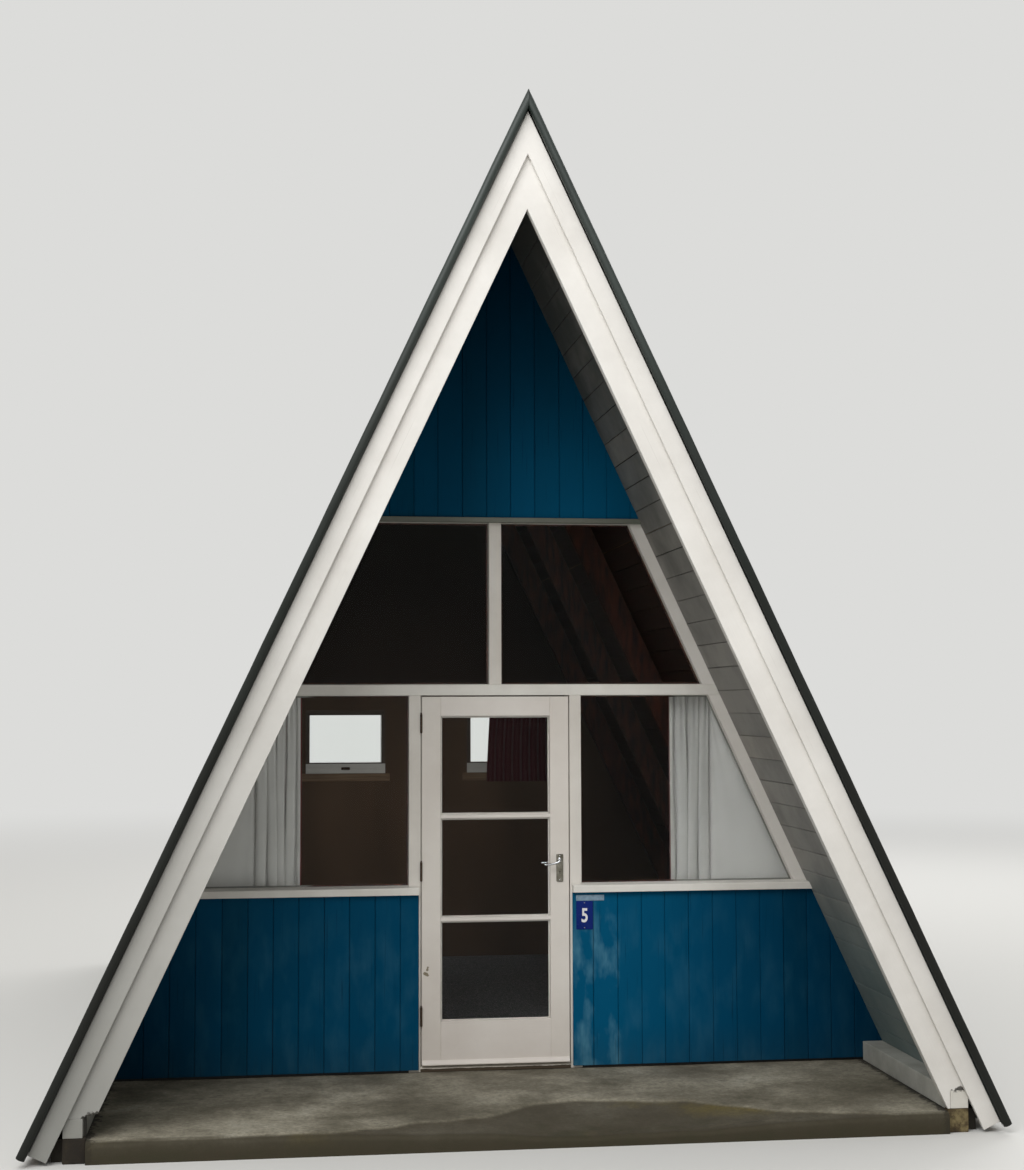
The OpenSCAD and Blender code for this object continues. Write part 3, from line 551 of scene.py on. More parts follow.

# %% [markdown]
# The same lining boards run through the front wall. Over the porch they are painted a grey white with
# patches of dirt, a little darker towards the bottom, and painted shade darkens them more and more
# towards the apex. Low down near the slab they turn blue-green. Over the room they are stained a dark
# red brown. One finish does both and changes at the walls, so that a board can stay one piece.

# %% Lining boards
lining_paint, tree, place = finish("grey white soffit paint and dark ceiling stain", Roughness=0.6)
_, y, z = add(tree, "SeparateXYZ", place).node.outputs
tint = add(tree, "Attribute", attribute_name="tint").node.outputs["Fac"]
grain = streaks(tree, place, (160.0, 3.0, 160.0))
patch = add(tree, "TexNoise", place, Scale=3.0, Detail=7.0, Roughness=0.65)
low = add(tree, "MapRange", z, 1.1, 0.1, To_Max=0.12)
# painted shade that deepens towards the apex
high = add(tree, "MapRange", z, 2.4, 4.6, To_Max=0.60)
dust_and_shade = add(tree, "Math", add(tree, "Math", patch, low, operation="ADD"), high, operation="ADD")
after_wall = add(tree, "Math", y, WALL + 0.02, operation="GREATER_THAN")
before_back = add(tree, "Math", y, BACK - 0.02, operation="LESS_THAN")
inside = add(tree, "Math", after_wall, before_back, operation="MULTIPLY")
ceiling = add(tree, "ValToRGB", grain, stops=[(0.25, "#230d07"), (0.75, "#431f13")])
board = films(
    tree, add(tree, "ValToRGB", tint, stops=[(0.0, "#8f8d88"), (0.6, "#9b9892"), (1.0, "#a49f97")]),
    ("#565853", 0.9, dust_and_shade, 0.44, 1.0),
    ("#456d70", 0.5, z, 1.25, 0.75),
    (ceiling, inside),
)
bump = add(tree, "Bump", Strength=0.3, Distance=0.001, Height=grain)
plug(lining_paint, Base_Color=board, Normal=bump)

# %% [markdown]
# Rafters and inner beads are oiled or stained, battens are bare, and the window boards are varnished.
# All are noise drawn along the grain that runs through two browns. On the inner beads beside the
# curtains the stain is painted grey, as painted shadow along the frames' edge, which is one more film.

# %% Stained, bare and varnished timber
def timber(name, roughness, lines, stops, relief=0.0):
    """Timber whose grain shows: lines across and along as for streaks, and stops from its dark
    wood to its light."""
    material, tree, place = finish(name, Roughness=roughness)
    grain = streaks(tree, place, lines)
    if relief:
        plug(material, Normal=add(tree, "Bump", Strength=relief, Distance=0.001, Height=grain))
    return plug(material, Base_Color=add(tree, "ValToRGB", grain, stops=stops))


def curtain_shadow_share(tree, place):
    """1 beside the curtains of the lower windows, where the beads are painted grey as painted shadow."""
    x, _, z = add(tree, "SeparateXYZ", place).node.outputs
    aside = add(tree, "MapRange", add(tree, "Math", x, operation="ABSOLUTE"), 0.98, 1.03)
    low = add(tree, "Math", z, SLAB + 2.05, operation="LESS_THAN")
    return add(tree, "Math", aside, low, operation="MULTIPLY")


oiled = dict(roughness=0.55, lines=(45.0, 120.0, 9.0), stops=[(0.3, "#2a1009"), (0.7, "#552818")], relief=0.4)
stained = timber("dark red brown oil stain on sawn rafters", **oiled)
bead_stain_and_shadow = timber("oil stain on inner beads, faded by the curtains", **oiled)
# painted shadow: the beads turn grey beside the curtains
add_film(bead_stain_and_shadow, "#8c8a84", curtain_shadow_share)
bare_pine = timber("bare sawn pine", 0.75, (140.0, 4.0, 140.0), [(0.3, "#7a5f3f"), (0.7, "#a98d66")], 0.5)
board_stain = timber(
    "brown varnish on window boards", 0.45, (4.0, 120.0, 120.0), [(0.3, "#5b4634"), (0.7, "#7d654c")]
)

# %% [markdown]
# Inside, the framed walls are lined with hardboard panels, painted a dull brown and stained nearly
# black over the windows. Only the back wall shows, through the front windows. Outside, dark building
# paper lies behind the blue boards and shows as a line under them.

# %% Wall lining panels
panel_paint, tree, place = finish("brown paint on hardboard wall lining", Roughness=0.7)
_, y, z = add(tree, "SeparateXYZ", place).node.outputs
cloud = streaks(tree, place, (2.4, 2.4, 0.84))
fine = add(tree, "TexNoise", place, Scale=420.0, Detail=2.0)
front = add(tree, "Math", y, WALL + 0.03, operation="LESS_THAN")
back = add(tree, "Math", y, BACK - 0.03, operation="GREATER_THAN")
colour = films(
    tree, add(tree, "ValToRGB", cloud, stops=[(0.3, "#453528"), (0.7, "#594636")]),
    ("#150c08", 0.85, z, SLAB + 2.08, SLAB + 2.10),
    ("#1b1917", add(tree, "Math", front, back, operation="ADD")),
)
bump = add(tree, "Bump", Strength=0.15, Distance=0.001, Height=fine)
plug(panel_paint, Base_Color=colour, Normal=bump)

# %% [markdown]
# The roofing is corrugated steel with a baked dark green-grey paint. Rain draws faint streaks down
# the slope, the paint chalks in patches, and pale lichen starts in the valleys. The cappings are the
# same steel, folded and rolled, a little darker, and their lower ends turn a dull black, which is
# painted shade and dark reflection.

# %% Roof steel
def roof_paint(name, colour, chalked, lichen, shade_and_reflection=0.0):
    """Baked paint on sheet steel: streaks run down the slope, 20 to 60 mm apart, and lichen spots
    are 10 to 30 mm across. A dull black painted shade and dark reflection thickens down the slope to
    the share shade_and_reflection."""
    material, tree, place = finish(name, Roughness=0.45)
    z = add(tree, "SeparateXYZ", place).node.outputs["Z"]
    streak = streaks(tree, place, (1.6, 26.0, 1.6), 6.0, 0.6)
    patch = add(tree, "TexNoise", place, Scale=1.7, Detail=5.0)
    chalk = add(tree, "Math", streak, patch, operation="MULTIPLY")
    spot = add(tree, "MapRange", add(tree, "TexVoronoi", place, Scale=26.0), 0.26, 0.16, To_Max=lichen)
    here = add(tree, "MapRange", patch, 0.5, 0.64)
    spot = add(tree, "Math", spot, here, operation="MULTIPLY")
    film = add(tree, "MapRange", z, 4.4, 1.8, To_Max=shade_and_reflection)
    paint = films(tree, colour, (chalked, 0.6, chalk, 0.2, 0.42), ("#8d9079", spot), ("#0d0a05", film))
    gloss = add(tree, "MapRange", streak, 0.3, 0.7, 0.38, 0.6)
    gloss = add(tree, "Math", gloss, film, operation="ADD")
    bump = add(tree, "Bump", Strength=0.2, Distance=0.002, Height=patch)
    return plug(material, Base_Color=paint, Roughness=gloss, Normal=bump)


roof_steel = roof_paint("dark green-grey baked paint on corrugated steel", "#2b322d", "#4a524b", 0.5)
# the cappings' lower ends darken as painted shade and dark reflection
cap_steel = roof_paint("dark green-grey baked paint on folded steel", "#222a26", "#3a4440", 0.0, shade_and_reflection=0.8)

# %% [markdown]
# The slab was trowelled smooth long ago and is a patchwork of warm and cool greys. Damp, moss, dirt
# and pits each follow a measure of their own: noise of some size, the height on the worn apron that
# falls to the front, or the distance from a toe board. The measures come first.

# %% Marks on the concrete
concrete, tree, place = finish("weathered trowelled concrete", Roughness=0.85)
x, y, z = add(tree, "SeparateXYZ", place).node.outputs
moved = add(tree, "Mapping", place, Location=(7.0, 3.0, 0.0))
cloud = add(tree, "TexNoise", place, Scale=2.6, Detail=12.0, Roughness=0.66)
wash = add(tree, "TexNoise", moved, Scale=1.3, Detail=9.0, Roughness=0.6)
blot = add(tree, "TexNoise", moved, Scale=9.0, Detail=8.0, Roughness=0.7)
speck = add(tree, "TexNoise", moved, Scale=46.0, Detail=8.0, Roughness=0.8)
dirt = add(tree, "TexNoise", moved, Scale=38.0, Detail=5.0, Roughness=0.7)
grit = add(tree, "TexNoise", place, Scale=150.0, Detail=4.0)
pit = add(tree, "MapRange", add(tree, "TexVoronoi", place, Scale=60.0), 0.14, 0.05, To_Max=0.5)
fallen = add(tree, "MapRange", z, SLAB - 0.006, SLAB - 0.012, To_Max=0.80)
moss = add(tree, "MapRange", wash, 0.44, 0.34, To_Max=0.75)
moss = add(tree, "Math", moss, fallen, operation="MULTIPLY")
moss = add(tree, "Math", moss, blot, operation="MULTIPLY")
edge = add(tree, "MapRange", z, SLAB - 0.025, SLAB - 0.075)
growth = add(tree, "MapRange", blot, 0.44, 0.60, To_Max=0.8)
growth = add(tree, "Math", growth, edge, operation="MULTIPLY")
ragged = add(tree, "MapRange", add(tree, "Math", blot, dirt, operation="ADD"), 0.7, 1.3, -0.04, 0.04)
beside = add(tree, "Math", add(tree, "Math", x, operation="ABSOLUTE"), ragged, operation="ADD")

# %% [markdown]
# The films lie in the order in which the years laid them: damp and brown stains, the browned apron
# with its moss, green growth along the front edge, specks, pits the size of rice grains, and the dark
# line of dirt in the crack beside each toe board. Last comes painted shade along the rounded front edge.

# %% Concrete
grey = [(0.30, "#5a5545"), (0.46, "#7c7666"), (0.58, "#989281"), (0.75, "#b2ad9d")]
colour = films(
    tree, add(tree, "ValToRGB", cloud, stops=grey),
    ("#463f30", 0.6, wash, 0.50, 0.66),
    ("#3c3728", 0.55, blot, 0.56, 0.74),
    ("#383122", fallen),
    ("#7d6d24", moss),
    ("#342914", add(tree, "Math", edge, 0.75, operation="MULTIPLY")),
    ("#2b2f14", growth),
    ("#332f24", 0.5, speck, 0.60, 0.36),
    ("#3a362b", pit),
    ("#1d1810", 0.9, beside, TOE_X - 0.034, TOE_X - 0.016),
    # painted shade along the rounded front edge
    ("#2c2613", 0.7, y, FRONT + 0.05, FRONT + 0.012),
)
relief = add(tree, "Math", grit, pit, operation="SUBTRACT")
plug(concrete, Base_Color=colour, Normal=add(tree, "Bump", Strength=0.5, Distance=0.002, Height=relief))
print("nodes in the concrete:", len(tree.nodes))

# %% [markdown]
# The piers under the rafters' feet are cast in rough boards, so their relief is coarse. They are
# stained brown, with pale lichen on the right one and deep shade on the left.

# %% Cast concrete
cast_concrete, tree, place = finish("rough cast concrete with lichen", Roughness=0.9)
cloud = add(tree, "TexNoise", place, Scale=14.0, Detail=6.0, Roughness=0.7)
grit = add(tree, "TexNoise", place, Scale=90.0, Detail=5.0)
x = add(tree, "SeparateXYZ", place).node.outputs["X"]
colour = add(tree, "ValToRGB", cloud, stops=[(0.34, "#2c2214"), (0.5, "#483b24"), (0.66, "#786b49")])
colour = films(tree, colour, ("#171109", 0.9, x, 0.0, -2.0))
plug(cast_concrete, Base_Color=colour, Normal=add(tree, "Bump", Strength=0.8, Distance=0.004, Height=grit))

# %% [markdown]
# Float glass is nearly clear, and what the eye reads is the dark room behind it and a soft
# reflection. The index is set a little low so that the bright studio doesn't whiten the panes. The
# fittings are plated or lacquered steel. A mottled finish is smooth but for fine blotches, which is
# what age leaves on plating, and which keeps a highlight from looking printed.

# %% Glass and metals
def mottled(name, scale, detail, stops=(), gloss=(), **inputs):
    """A hard smooth finish with fine blotches, scale of them to the metre. They move its colour
    along the stops, and its roughness as gloss says: blotches from, to, roughness from, to."""
    material, tree, place = finish(name, **inputs)
    fine = add(tree, "TexNoise", place, Scale=scale, Detail=detail)
    if stops:
        plug(material, Base_Color=add(tree, "ValToRGB", fine, stops=stops))
    if gloss:
        plug(material, Roughness=add(tree, "MapRange", fine, *gloss))
    return material


CLOUDED = (0.35, 0.7, 0.10)
glass = finish("clear float glass", Base_Color="#fbfdfc", Roughness=0.0, IOR=1.12, Transmission_Weight=1.0)[0]
chrome = mottled("chrome plate, a little pitted", 160.0, 4.0, gloss=(*CLOUDED, 0.34),
                 Base_Color="#c4c6c8", Metallic=1.0)
old_chrome = mottled("dulled chrome plate", 24.0, 5.0, [(0.35, "#5a564a"), (0.65, "#8d8a80")],
                     (*CLOUDED, 0.28), Metallic=1.0)
bronze = mottled("brown lacquer on steel hinges", 120.0, 4.0, [(0.35, "#2c231d"), (0.7, "#54402f")],
                 Roughness=0.45, Metallic=0.4)
zinc = mottled("zinc plate on roofing screws", 300.0, 2.0, gloss=(0.0, 1.0, 0.35, 0.65),
               Base_Color="#8c9190", Metallic=1.0)
# the keyhole is painted shade, a dark patch where the hole would be
keyhole_shade = finish("painted shade inside the keyhole", Base_Color="#0b0b0b", Roughness=0.8)[0]

# %% [markdown]
# The number is a vitreous enamel plate: glassy, deep blue, with the figure fired on in white. The
# strip over it is left bare, in the pale blue of its background. Fired glass pools unevenly, which
# shows in the gloss of the number and in the colour of the strip.

# %% Enamels
number_blue = mottled("deep blue vitreous enamel", 40.0, 3.0, gloss=(0.0, 1.0, 0.15, 0.35),
                      Base_Color="#00206e", Specular_IOR_Level=0.15)
number_white = finish("white vitreous enamel", Base_Color="#e8e8ea", Roughness=0.25)[0]
strip_blue = mottled("pale blue-grey enamel", 55.0, 5.0, [(0.3, "#6f8ba0"), (0.7, "#8aa5b8")], Roughness=0.4)

# %% [markdown]
# The curtains are cotton with a white lining towards the glass and a dull red face towards the room.
# A plain weave of about 2 mm is drawn, four times coarser than the real one, so that it shows at all.
# The folds of the right curtain are darkened by painted shade, and the tint attribute tells lining from face.

# %% Cloths
THREAD = 0.002


def cloth(name, lining, shaded, face):
    """Cotton cloth: the lining, shaded in soft clouds, where the tint attribute is 0, and the face
    where it is 1. The weave is two waves crossed, as many to the metre as there are threads."""
    material, tree, place = finish(name, Roughness=0.9, Sheen_Weight=0.25)
    side = add(tree, "Attribute", attribute_name="tint").node.outputs["Fac"]
    soft = add(tree, "TexNoise", place, Scale=5.0, Detail=4.0)
    waves = [add(tree, "TexWave", place, Scale=math.tau / THREAD / 20, bands_direction=axis) for axis in "XZ"]
    weave = add(tree, "Math", *waves, operation="MULTIPLY")
    bump = add(tree, "Bump", Strength=0.25, Distance=0.0006, Height=weave)
    colour = films(tree, lining, (shaded, 0.35, soft, 0.3, 0.8), (face, side))
    return plug(material, Base_Color=colour, Normal=bump)


def shaded_folds(tree, place):
    """0.35 over the gathered folds of the right curtain, as painted shade in their depths."""
    x = add(tree, "SeparateXYZ", place).node.outputs["X"]
    past = add(tree, "MapRange", x, 1.25, 1.20, To_Max=0.35)
    right = add(tree, "Math", x, 0.0, operation="GREATER_THAN")
    return add(tree, "Math", past, right, operation="MULTIPLY")


lining_cloth = cloth("white curtain lining, dull red face", "#dcdad8", "#b9b5b2", "#6e2428")
# painted shade deep in the folds of the right curtain
add_film(lining_cloth, "#858481", shaded_folds)
maroon_cloth = cloth("dark maroon cotton", "#4a1a1e", "#33100f", "#4a1a1e")

# %% [markdown]
# The carpet is a dark loop pile with pale flecks. Each cell of a Voronoi texture is one loop of
# about 6 mm: its random colour gives the fleck, and its distance gives the round of the loop.

# %% Carpet and curtain track
carpet_pile, tree, place = finish("dark flecked loop pile", Roughness=0.95, Sheen_Weight=0.2)
loops = add(tree, "TexVoronoi", place, Scale=170.0).node.outputs
fleck = add(tree, "SeparateColor", loops["Color"])
colour = add(tree, "ValToRGB", fleck, stops=[(0.0, "#17171a"), (0.6, "#2f2e33"), (1.0, "#8f8b87")])
bump = add(tree, "Bump", Strength=0.8, Distance=0.003, Height=loops["Distance"], invert=True)
plug(carpet_pile, Base_Color=colour, Normal=bump)
satin = finish("white baked paint on a curtain track", Base_Color="#cfcdc8", Roughness=0.4)[0]
print("finishes:", len(bpy.data.materials))

# %% [markdown]
# ## The boards
# Tongued boards are nailed up one beside the other, with a small chamfer on each edge and a gap of
# about a millimetre. Each board here is its own closed bar with that section, so the joints are real
# shadows, which lines in a texture would not be. A board's top follows the slope, and one corner of
# its section is put on the point where sill and slope meet, so that the cut is true.

# %% Upright boards
COVER = 0.134  # from one joint to the next


def upright_boards(rows, y_face, outward, kink=9.0, chamfer=0.003):
    """Bars from rows of (left x, right x, left joint, right joint, low, top limit). The visible face
    lies at y_face, and outward is -1 or 1. Height of a corner: min(limit, slope at its x)."""
    x0, x1, joint0, joint1, low, limit = np.array(rows, float).T[..., None]
    count = len(rows)
    gap = rng.uniform(0.0003, 0.0011, (2, count))[..., None]
    left, right = x0 + gap[0] * joint0, x1 - gap[1] * joint1
    inner = np.linspace(0, 1, 6)
    face_left, face_width = left + chamfer * joint0, right - left - chamfer * (joint0 + joint1)
    face = face_left + face_width * inner
    for point in (kink, -kink):
        near = (np.abs(face - point) <= face_width / 10) & (inner > 0) & (inner < 1)
        face = np.where(near, point, face)
    x = np.concatenate([left, left, face, right, right], 1)
    depth = np.array([BOARD, chamfer, *([0.0] * 6), chamfer, BOARD])
    stations = np.linspace(0, 1, 15)
    bow = 0.0006 * rng.standard_normal((count, 1)) + 0.0005 * np.sin(
        stations * rng.uniform(2, 7, (count, 1)) + rng.uniform(0, 6, (count, 1))
    )
    top = np.maximum(np.minimum(limit, APEX - np.abs(x) * TAN), low + 0.0005)
    points = np.empty((count, 15, 10, 3))
    points[..., 0] = x[:, None]
    points[..., 1] = y_face - outward * (depth + (depth < BOARD) * np.abs(bow)[..., None])
    points[..., 2] = low[..., None] + (top - low)[:, None] * stations[:, None]
    return bars(points), np.repeat(rng.uniform(0, 1, count), 150)


def between(joints, low, limit):
    """Rows for neighbouring boards between the given joints."""
    return [(a, b, 1, 1, low, limit) for a, b in zip(joints[:-1], joints[1:])]


print(f"boards to a metre of wall: {1 / COVER:.1f}")

# %% [markdown]
# The joints of the front were read off the photograph, board by board, because they don't quite
# repeat. The outer boards are cut along the lining.

# %% Front and gable boards
LOW = SLAB + 0.015
OPEN_TOP = 9.0  # no limit but the slope
front_face = WALL - BOARD
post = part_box("front_cladding_right")[0].x
joints = {
    1: [post, 0.535, 0.671, 0.804, 0.934, 1.068, 1.203, 1.337, 1.471, 1.605, 1.739, 1.873, 2.007, 2.141],
    -1: [post, 0.521, 0.657, 0.794, 0.929, 1.065, 1.201, 1.335, 1.471, 1.609, 1.743, 1.877, 2.011, 2.145],
}
for name, side in reversed(SIDES):
    places = sorted(side * x for x in [*joints[side], half_width(LOW)])
    shape, tint = upright_boards(between(places, LOW, SILL), front_face, -1, half_width(SILL))
    make("front_boards_" + name, shape, blue_paint,
         replaced=["front_cladding_" + name], tint=tint)
gable_joints = [-0.718, -0.584, -0.450, -0.318, -0.183, -0.048, 0.085, 0.220, 0.358, 0.492, 0.623, 0.757]
places = [-half_width(GABLE), *gable_joints, half_width(GABLE)]
shape, tint = upright_boards(between(places, GABLE, OPEN_TOP), front_face, -1)
make("gable_boards", shape, blue_paint, replaced=["gable_cladding"], tint=tint)

# %% [markdown]
# The back wall repeats the boards. A board that meets a window is ripped at the window's edge and
# stopped under the sill and over the head, as a carpenter would notch it.

# %% Back wall boards
WINDOW_X = (0.322, 0.940)
WINDOW_Z = (SLAB + 1.438, SLAB + 1.930)
outer = half_width(LOW)
marks = np.arange(-16, 17) * COVER
marks = [-outer, *marks[np.abs(marks) < outer - 0.02], outer]
cuts = sorted(set(np.round([*marks, *WINDOW_X, *(-x for x in WINDOW_X)], 4)))
rows = []
for a, b in zip(cuts[:-1], cuts[1:]):
    at_joint = [any(abs(x - m) < 1e-3 for m in marks) for x in (a, b)]
    by_window = WINDOW_X[0] < abs((a + b) / 2) < WINDOW_X[1]
    for low, limit in ((LOW, WINDOW_Z[0]), (WINDOW_Z[1], OPEN_TOP)) if by_window else ((LOW, OPEN_TOP),):
        rows.append((a, b, *at_joint, low, limit))
shape, tint = upright_boards(rows, BACK + BOARD, 1)
make("back_boards", shape, blue_paint, replaced=["rear_cladding"], tint=tint)
print("back boards:", len(rows))

# %% [markdown]
# The lining boards run level from end to end of the roof, on top of the rafters. Joint positions
# come from the photograph: 137 mm of cover down the slope.

# %% Linings of both slopes
PLUMB_GAP = 0.0008  # half of the plumb joint at the apex


def lining_boards(side):
    """Bars along y with their visible face at n = 0. The first is cut plumb at the apex."""
    joints = np.append(np.arange(0.0735, EAVE - 0.05, 0.137), EAVE)
    count, chamfer, stations = len(joints), 0.0028, 29
    gap = rng.uniform(0.0006, 0.0026, (2, count))
    gap[0, 0] = PLUMB_GAP
    left, right = np.append(0.0, joints[:-1]) + gap[0], joints - gap[1]
    s = np.stack([left, left, left + chamfer, (left + right) / 2, right - chamfer, right, right], 1)
    n = np.tile([LINING, chamfer, 0, 0, 0, chamfer, LINING], (count, 1))
    s[0, :2] = -n[0, :2] * TAN + PLUMB_GAP
    y = np.linspace(FRONT + 0.025, REAR - 0.025, stations)
    cup = np.zeros((count, stations, 7))
    cup[..., 3] = 0.0005 * rng.standard_normal((count, stations)).cumsum(1) / 5
    points = on_slope(side, s[:, None], y[None, :, None], n[:, None] + cup)
    return bars(points), np.repeat(rng.uniform(0, 1, count), stations * 7)


for name, side in SIDES:
    shape, tint = lining_boards(side)
    make("lining_boards_" + name, shape, lining_paint,
         replaced=["lining_" + name], tint=tint)

# %% [markdown]
# ## The roof
# Corrugated sheets are 762 mm wide in use: ten waves of 76.2 mm, plus a lap. Each sheet here is a
# cosine in section that rises by its own thickness from one side to the other, so that its edge
# lies on its neighbour, as it does on a roof. An Array modifier could repeat one wave, but would
# leave out the laps.

# %% Corrugated sheets
WAVE, DEPTH, SHEET = 0.0762, 0.017, 0.0012
WAVES_A_SHEET = 10
IRON_END = EAVE + 0.023


def wave_height(y):
    """Height of the sheet over its valley: depth / 2 (1 - cos(2 pi y / wave))."""
    return DEPTH / 2 * (1 - np.cos(math.tau * (y - FRONT) / WAVE))


def iron_sheets(side):
    """Sheets from front to rear, each a closed shell one sheet thick."""
    start = FRONT
    sheets = []
    while start < REAR - 0.01:
        end = min(start + (WAVES_A_SHEET + 0.75) * WAVE, REAR)
        y = np.linspace(start, end, int(round((end - start) / WAVE * 12)) + 1)
        s = np.linspace(0, IRON_END, 12)[:, None]
        rise = SHEET * 1.1 * (1 - (y - start) / (end - start))
        wobble = 0.0006 * np.sin(s * 2.1 + start * 9) * np.sin((y - start) * 7)
        n = IRON + wave_height(y) + rise + wobble
        sheets.append(shell(on_slope(side, s, y, n + SHEET), on_slope(side, s, y, n)))
        start += WAVES_A_SHEET * WAVE
    return join(*sheets)


for name, side in SIDES:
    make("iron_" + name, iron_sheets(side), roof_steel, replaced=["roofing_" + name], sharp=50)

# %% [markdown]
# A roofing screw is a hexagon head on a domed washer, driven through every third crest at every
# batten but the top one, which the capping covers. Head and washer are turned from a few radii, and
# few faces are enough, because there are some hundreds of screws. One is made and moved to each
# place, a little off the batten's middle, as a hand sets them.

# %% Roofing screws
def turned(profile, sides):
    """A solid turned about z from (radius, height) pairs, from bottom to top."""
    angle = np.arange(sides) / sides * math.tau
    radius, height = np.array(profile).T
    circle = np.stack([np.cos(angle), np.sin(angle)], -1)
    points = np.empty((1, len(radius), sides, 3))
    points[0, ..., :2] = radius[:, None, None] * circle
    points[0, ..., 2] = height[:, None]
    return bars(points)


washer = turned([(0.011, 0.0), (0.011, 0.001), (0.006, 0.0026)], 10)
head = turned([(0.0055, 0.002), (0.0055, 0.0075), (0.004, 0.0085)], 6)
screw_points, screw_faces = join(washer, head)
first_batten, last_batten = 0.0495, EAVE - 0.0375
battens = np.linspace(first_batten, last_batten, 9)[1:]
crests = FRONT + (np.arange(1, 86, 3) + 0.5) * WAVE
for name, side in SIDES:
    s, y = np.meshgrid(battens, crests)
    s = s + rng.uniform(-0.006, 0.006, s.shape)
    places = on_slope(side, s, y, IRON + DEPTH + 2 * SHEET).reshape(-1, 3)
    axes = np.array([[side * COS, 0, -SIN], [0, 1, 0], [side * SIN, 0, COS]])
    screws = join(*[(place + screw_points @ axes, screw_faces) for place in places])
    make("roof_screws_" + name, screws, zinc)
print("roof screws on a side:", len(places))

# %% [markdown]
# The ridge capping has a roll along the top and a flange down each slope. The flange's lower edge is
# dressed down into the valleys of the iron, which keeps out the wind. Its height is the capping's
# own plane less a share of the wave's depth that grows to the edge.

# %% Ridge capping
CAP_N = IRON + DEPTH + SHEET + 0.0018
RIDGE_FLANGE, RIDGE_ROLL = 0.170, 0.016


def ridge_flange(side):
    """One flange as a shell: n = plane - 0.92 (depth - wave) r^2, where r rises from 0 to 1 over
    the lower 45 % of the flange."""
    y = np.linspace(FRONT + 0.001, REAR - 0.001, 1033)
    t = np.linspace(0, 1, 12)[:, None]
    ease_in = np.clip((t - 0.55) / 0.45, 0, 1) ** 2
    n = CAP_N - (DEPTH - wave_height(y)) * ease_in * 0.92
    s = -CAP_N * TAN + t * (RIDGE_FLANGE + CAP_N * TAN)
    outer_face = on_slope(side, s, y, n + SHEET)
    outer_face[0] = on_slope(side, -(CAP_N + SHEET) * TAN, y, CAP_N + SHEET)
    return shell(outer_face, on_slope(side, s, y, n))


def rod(path, radius, sides=20):
    """A round bar with its stations at path, which runs along y: circles in x and z."""
    angle = np.arange(sides) / sides * math.tau
    circle = radius * np.stack([np.cos(angle), 0 * angle, -np.sin(angle)], -1)
    return bars((path[:, None] + circle)[None])


ridge_y = np.linspace(FRONT + 0.001, REAR - 0.001, 60)
roll_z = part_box("ridge_cap")[1].z - RIDGE_ROLL + 0.0006 * np.sin(ridge_y * 3)
ridge_roll = rod(np.stack([0 * ridge_y, ridge_y, roll_z], -1), RIDGE_ROLL)
ridge = join(ridge_flange(-1), ridge_flange(1), ridge_roll)
make("ridge_capping", ridge, cap_steel, replaced=["ridge_cap"], sharp=50)

# %% [markdown]
# Along each end the iron is covered by a barge capping: a flange on the roof and a closed roll that
# hangs over the barge board and hides the ends of battens and boards.

# %% Barge cappings
ROLL_R = 0.0215
LIFT = 0.0003  # clearance over the iron


def barge_capping(side, face, inward):
    """Flange and roll of one capping. Both start at a plumb cut at the apex: s = -n tan(pitch)."""
    t = np.linspace(0, 1, 40)
    dent = 0.0005 * np.sin(t * 41 + side) + 0.0004 * np.sin(t * 97)
    angle = np.arange(22) / 22 * math.tau
    roll_y = face - inward * ROLL_R + ROLL_R * np.cos(angle)
    roll_n = IRON + ROLL_R + LIFT + ROLL_R * np.sin(angle)
    flange_y = face + inward * np.array([-ROLL_R, 0.02, 0.06, 0.104, 0.110])
    flange_n = IRON + DEPTH + SHEET + np.array([*([LIFT] * 4), -0.004])

    def down(n):
        start = -n * TAN + PLUMB_GAP / COS
        return start + t[:, None] * (IRON_END - start)

    rolled = bars(on_slope(side, down(roll_n), roll_y, roll_n + dent[:, None])[None])
    outer_face = on_slope(side, down(flange_n), flange_y, flange_n + SHEET)
    return join(rolled, shell(outer_face, on_slope(side, down(flange_n), flange_y, flange_n)))


for name, face, inward in (("front", FRONT, 1), ("rear", REAR, -1)):
    pair = join(barge_capping(-1, face, inward), barge_capping(1, face, inward))
    make("barge_cappings_" + name, pair, cap_steel, replaced=["barge_caps_" + name], sharp=50)

# %% [markdown]
# ## Timber with eased edges
# Real timber has no razor edge, and a small round catches the light. So a CAD beam that needs no new
# shape is copied, its loose triangles are merged to flat faces, and a Bevel modifier rounds its real
# edges. It could find them by their angle alone, but weights on the edges leave rotten ones raw.

# %% Ease the edges of CAD pieces
def round_edges(piece, width, change=None):
    """Merges loose triangles into flat faces and rounds the real edges by width. Paint fills a
    mitre at the middle line, so faces there are taken out and both sides are joined. change may
    alter the mesh and returns the vertices whose edges stay raw."""
    work = bmesh.new()
    work.from_mesh(piece.data)
    for vert in work.verts:
        if abs(vert.co.x) < 0.0011:
            vert.co.x = 0
    bmesh.ops.remove_doubles(work, verts=work.verts, dist=1e-5)
    inside = [f for f in work.faces if all(v.co.x == 0 for v in f.verts)]
    bmesh.ops.delete(work, geom=inside, context="FACES")
    bmesh.ops.dissolve_limit(work, angle_limit=math.radians(1), verts=work.verts, edges=work.edges)
    raw = change(work) if change else set()
    weight = work.edges.layers.float.new("bevel_weight_edge")
    for edge in work.edges:
        real = edge.calc_face_angle(0) > math.radians(30)
        edge[weight] = float(real and not raw.intersection(edge.verts))
    work.to_mesh(piece.data)
    work.free()
    bevel = piece.modifiers.new("eased edges", "BEVEL")
    bevel.width = width
    bevel.segments = 2
    bevel.limit_method = "WEIGHT"
    bevel.harden_normals = True


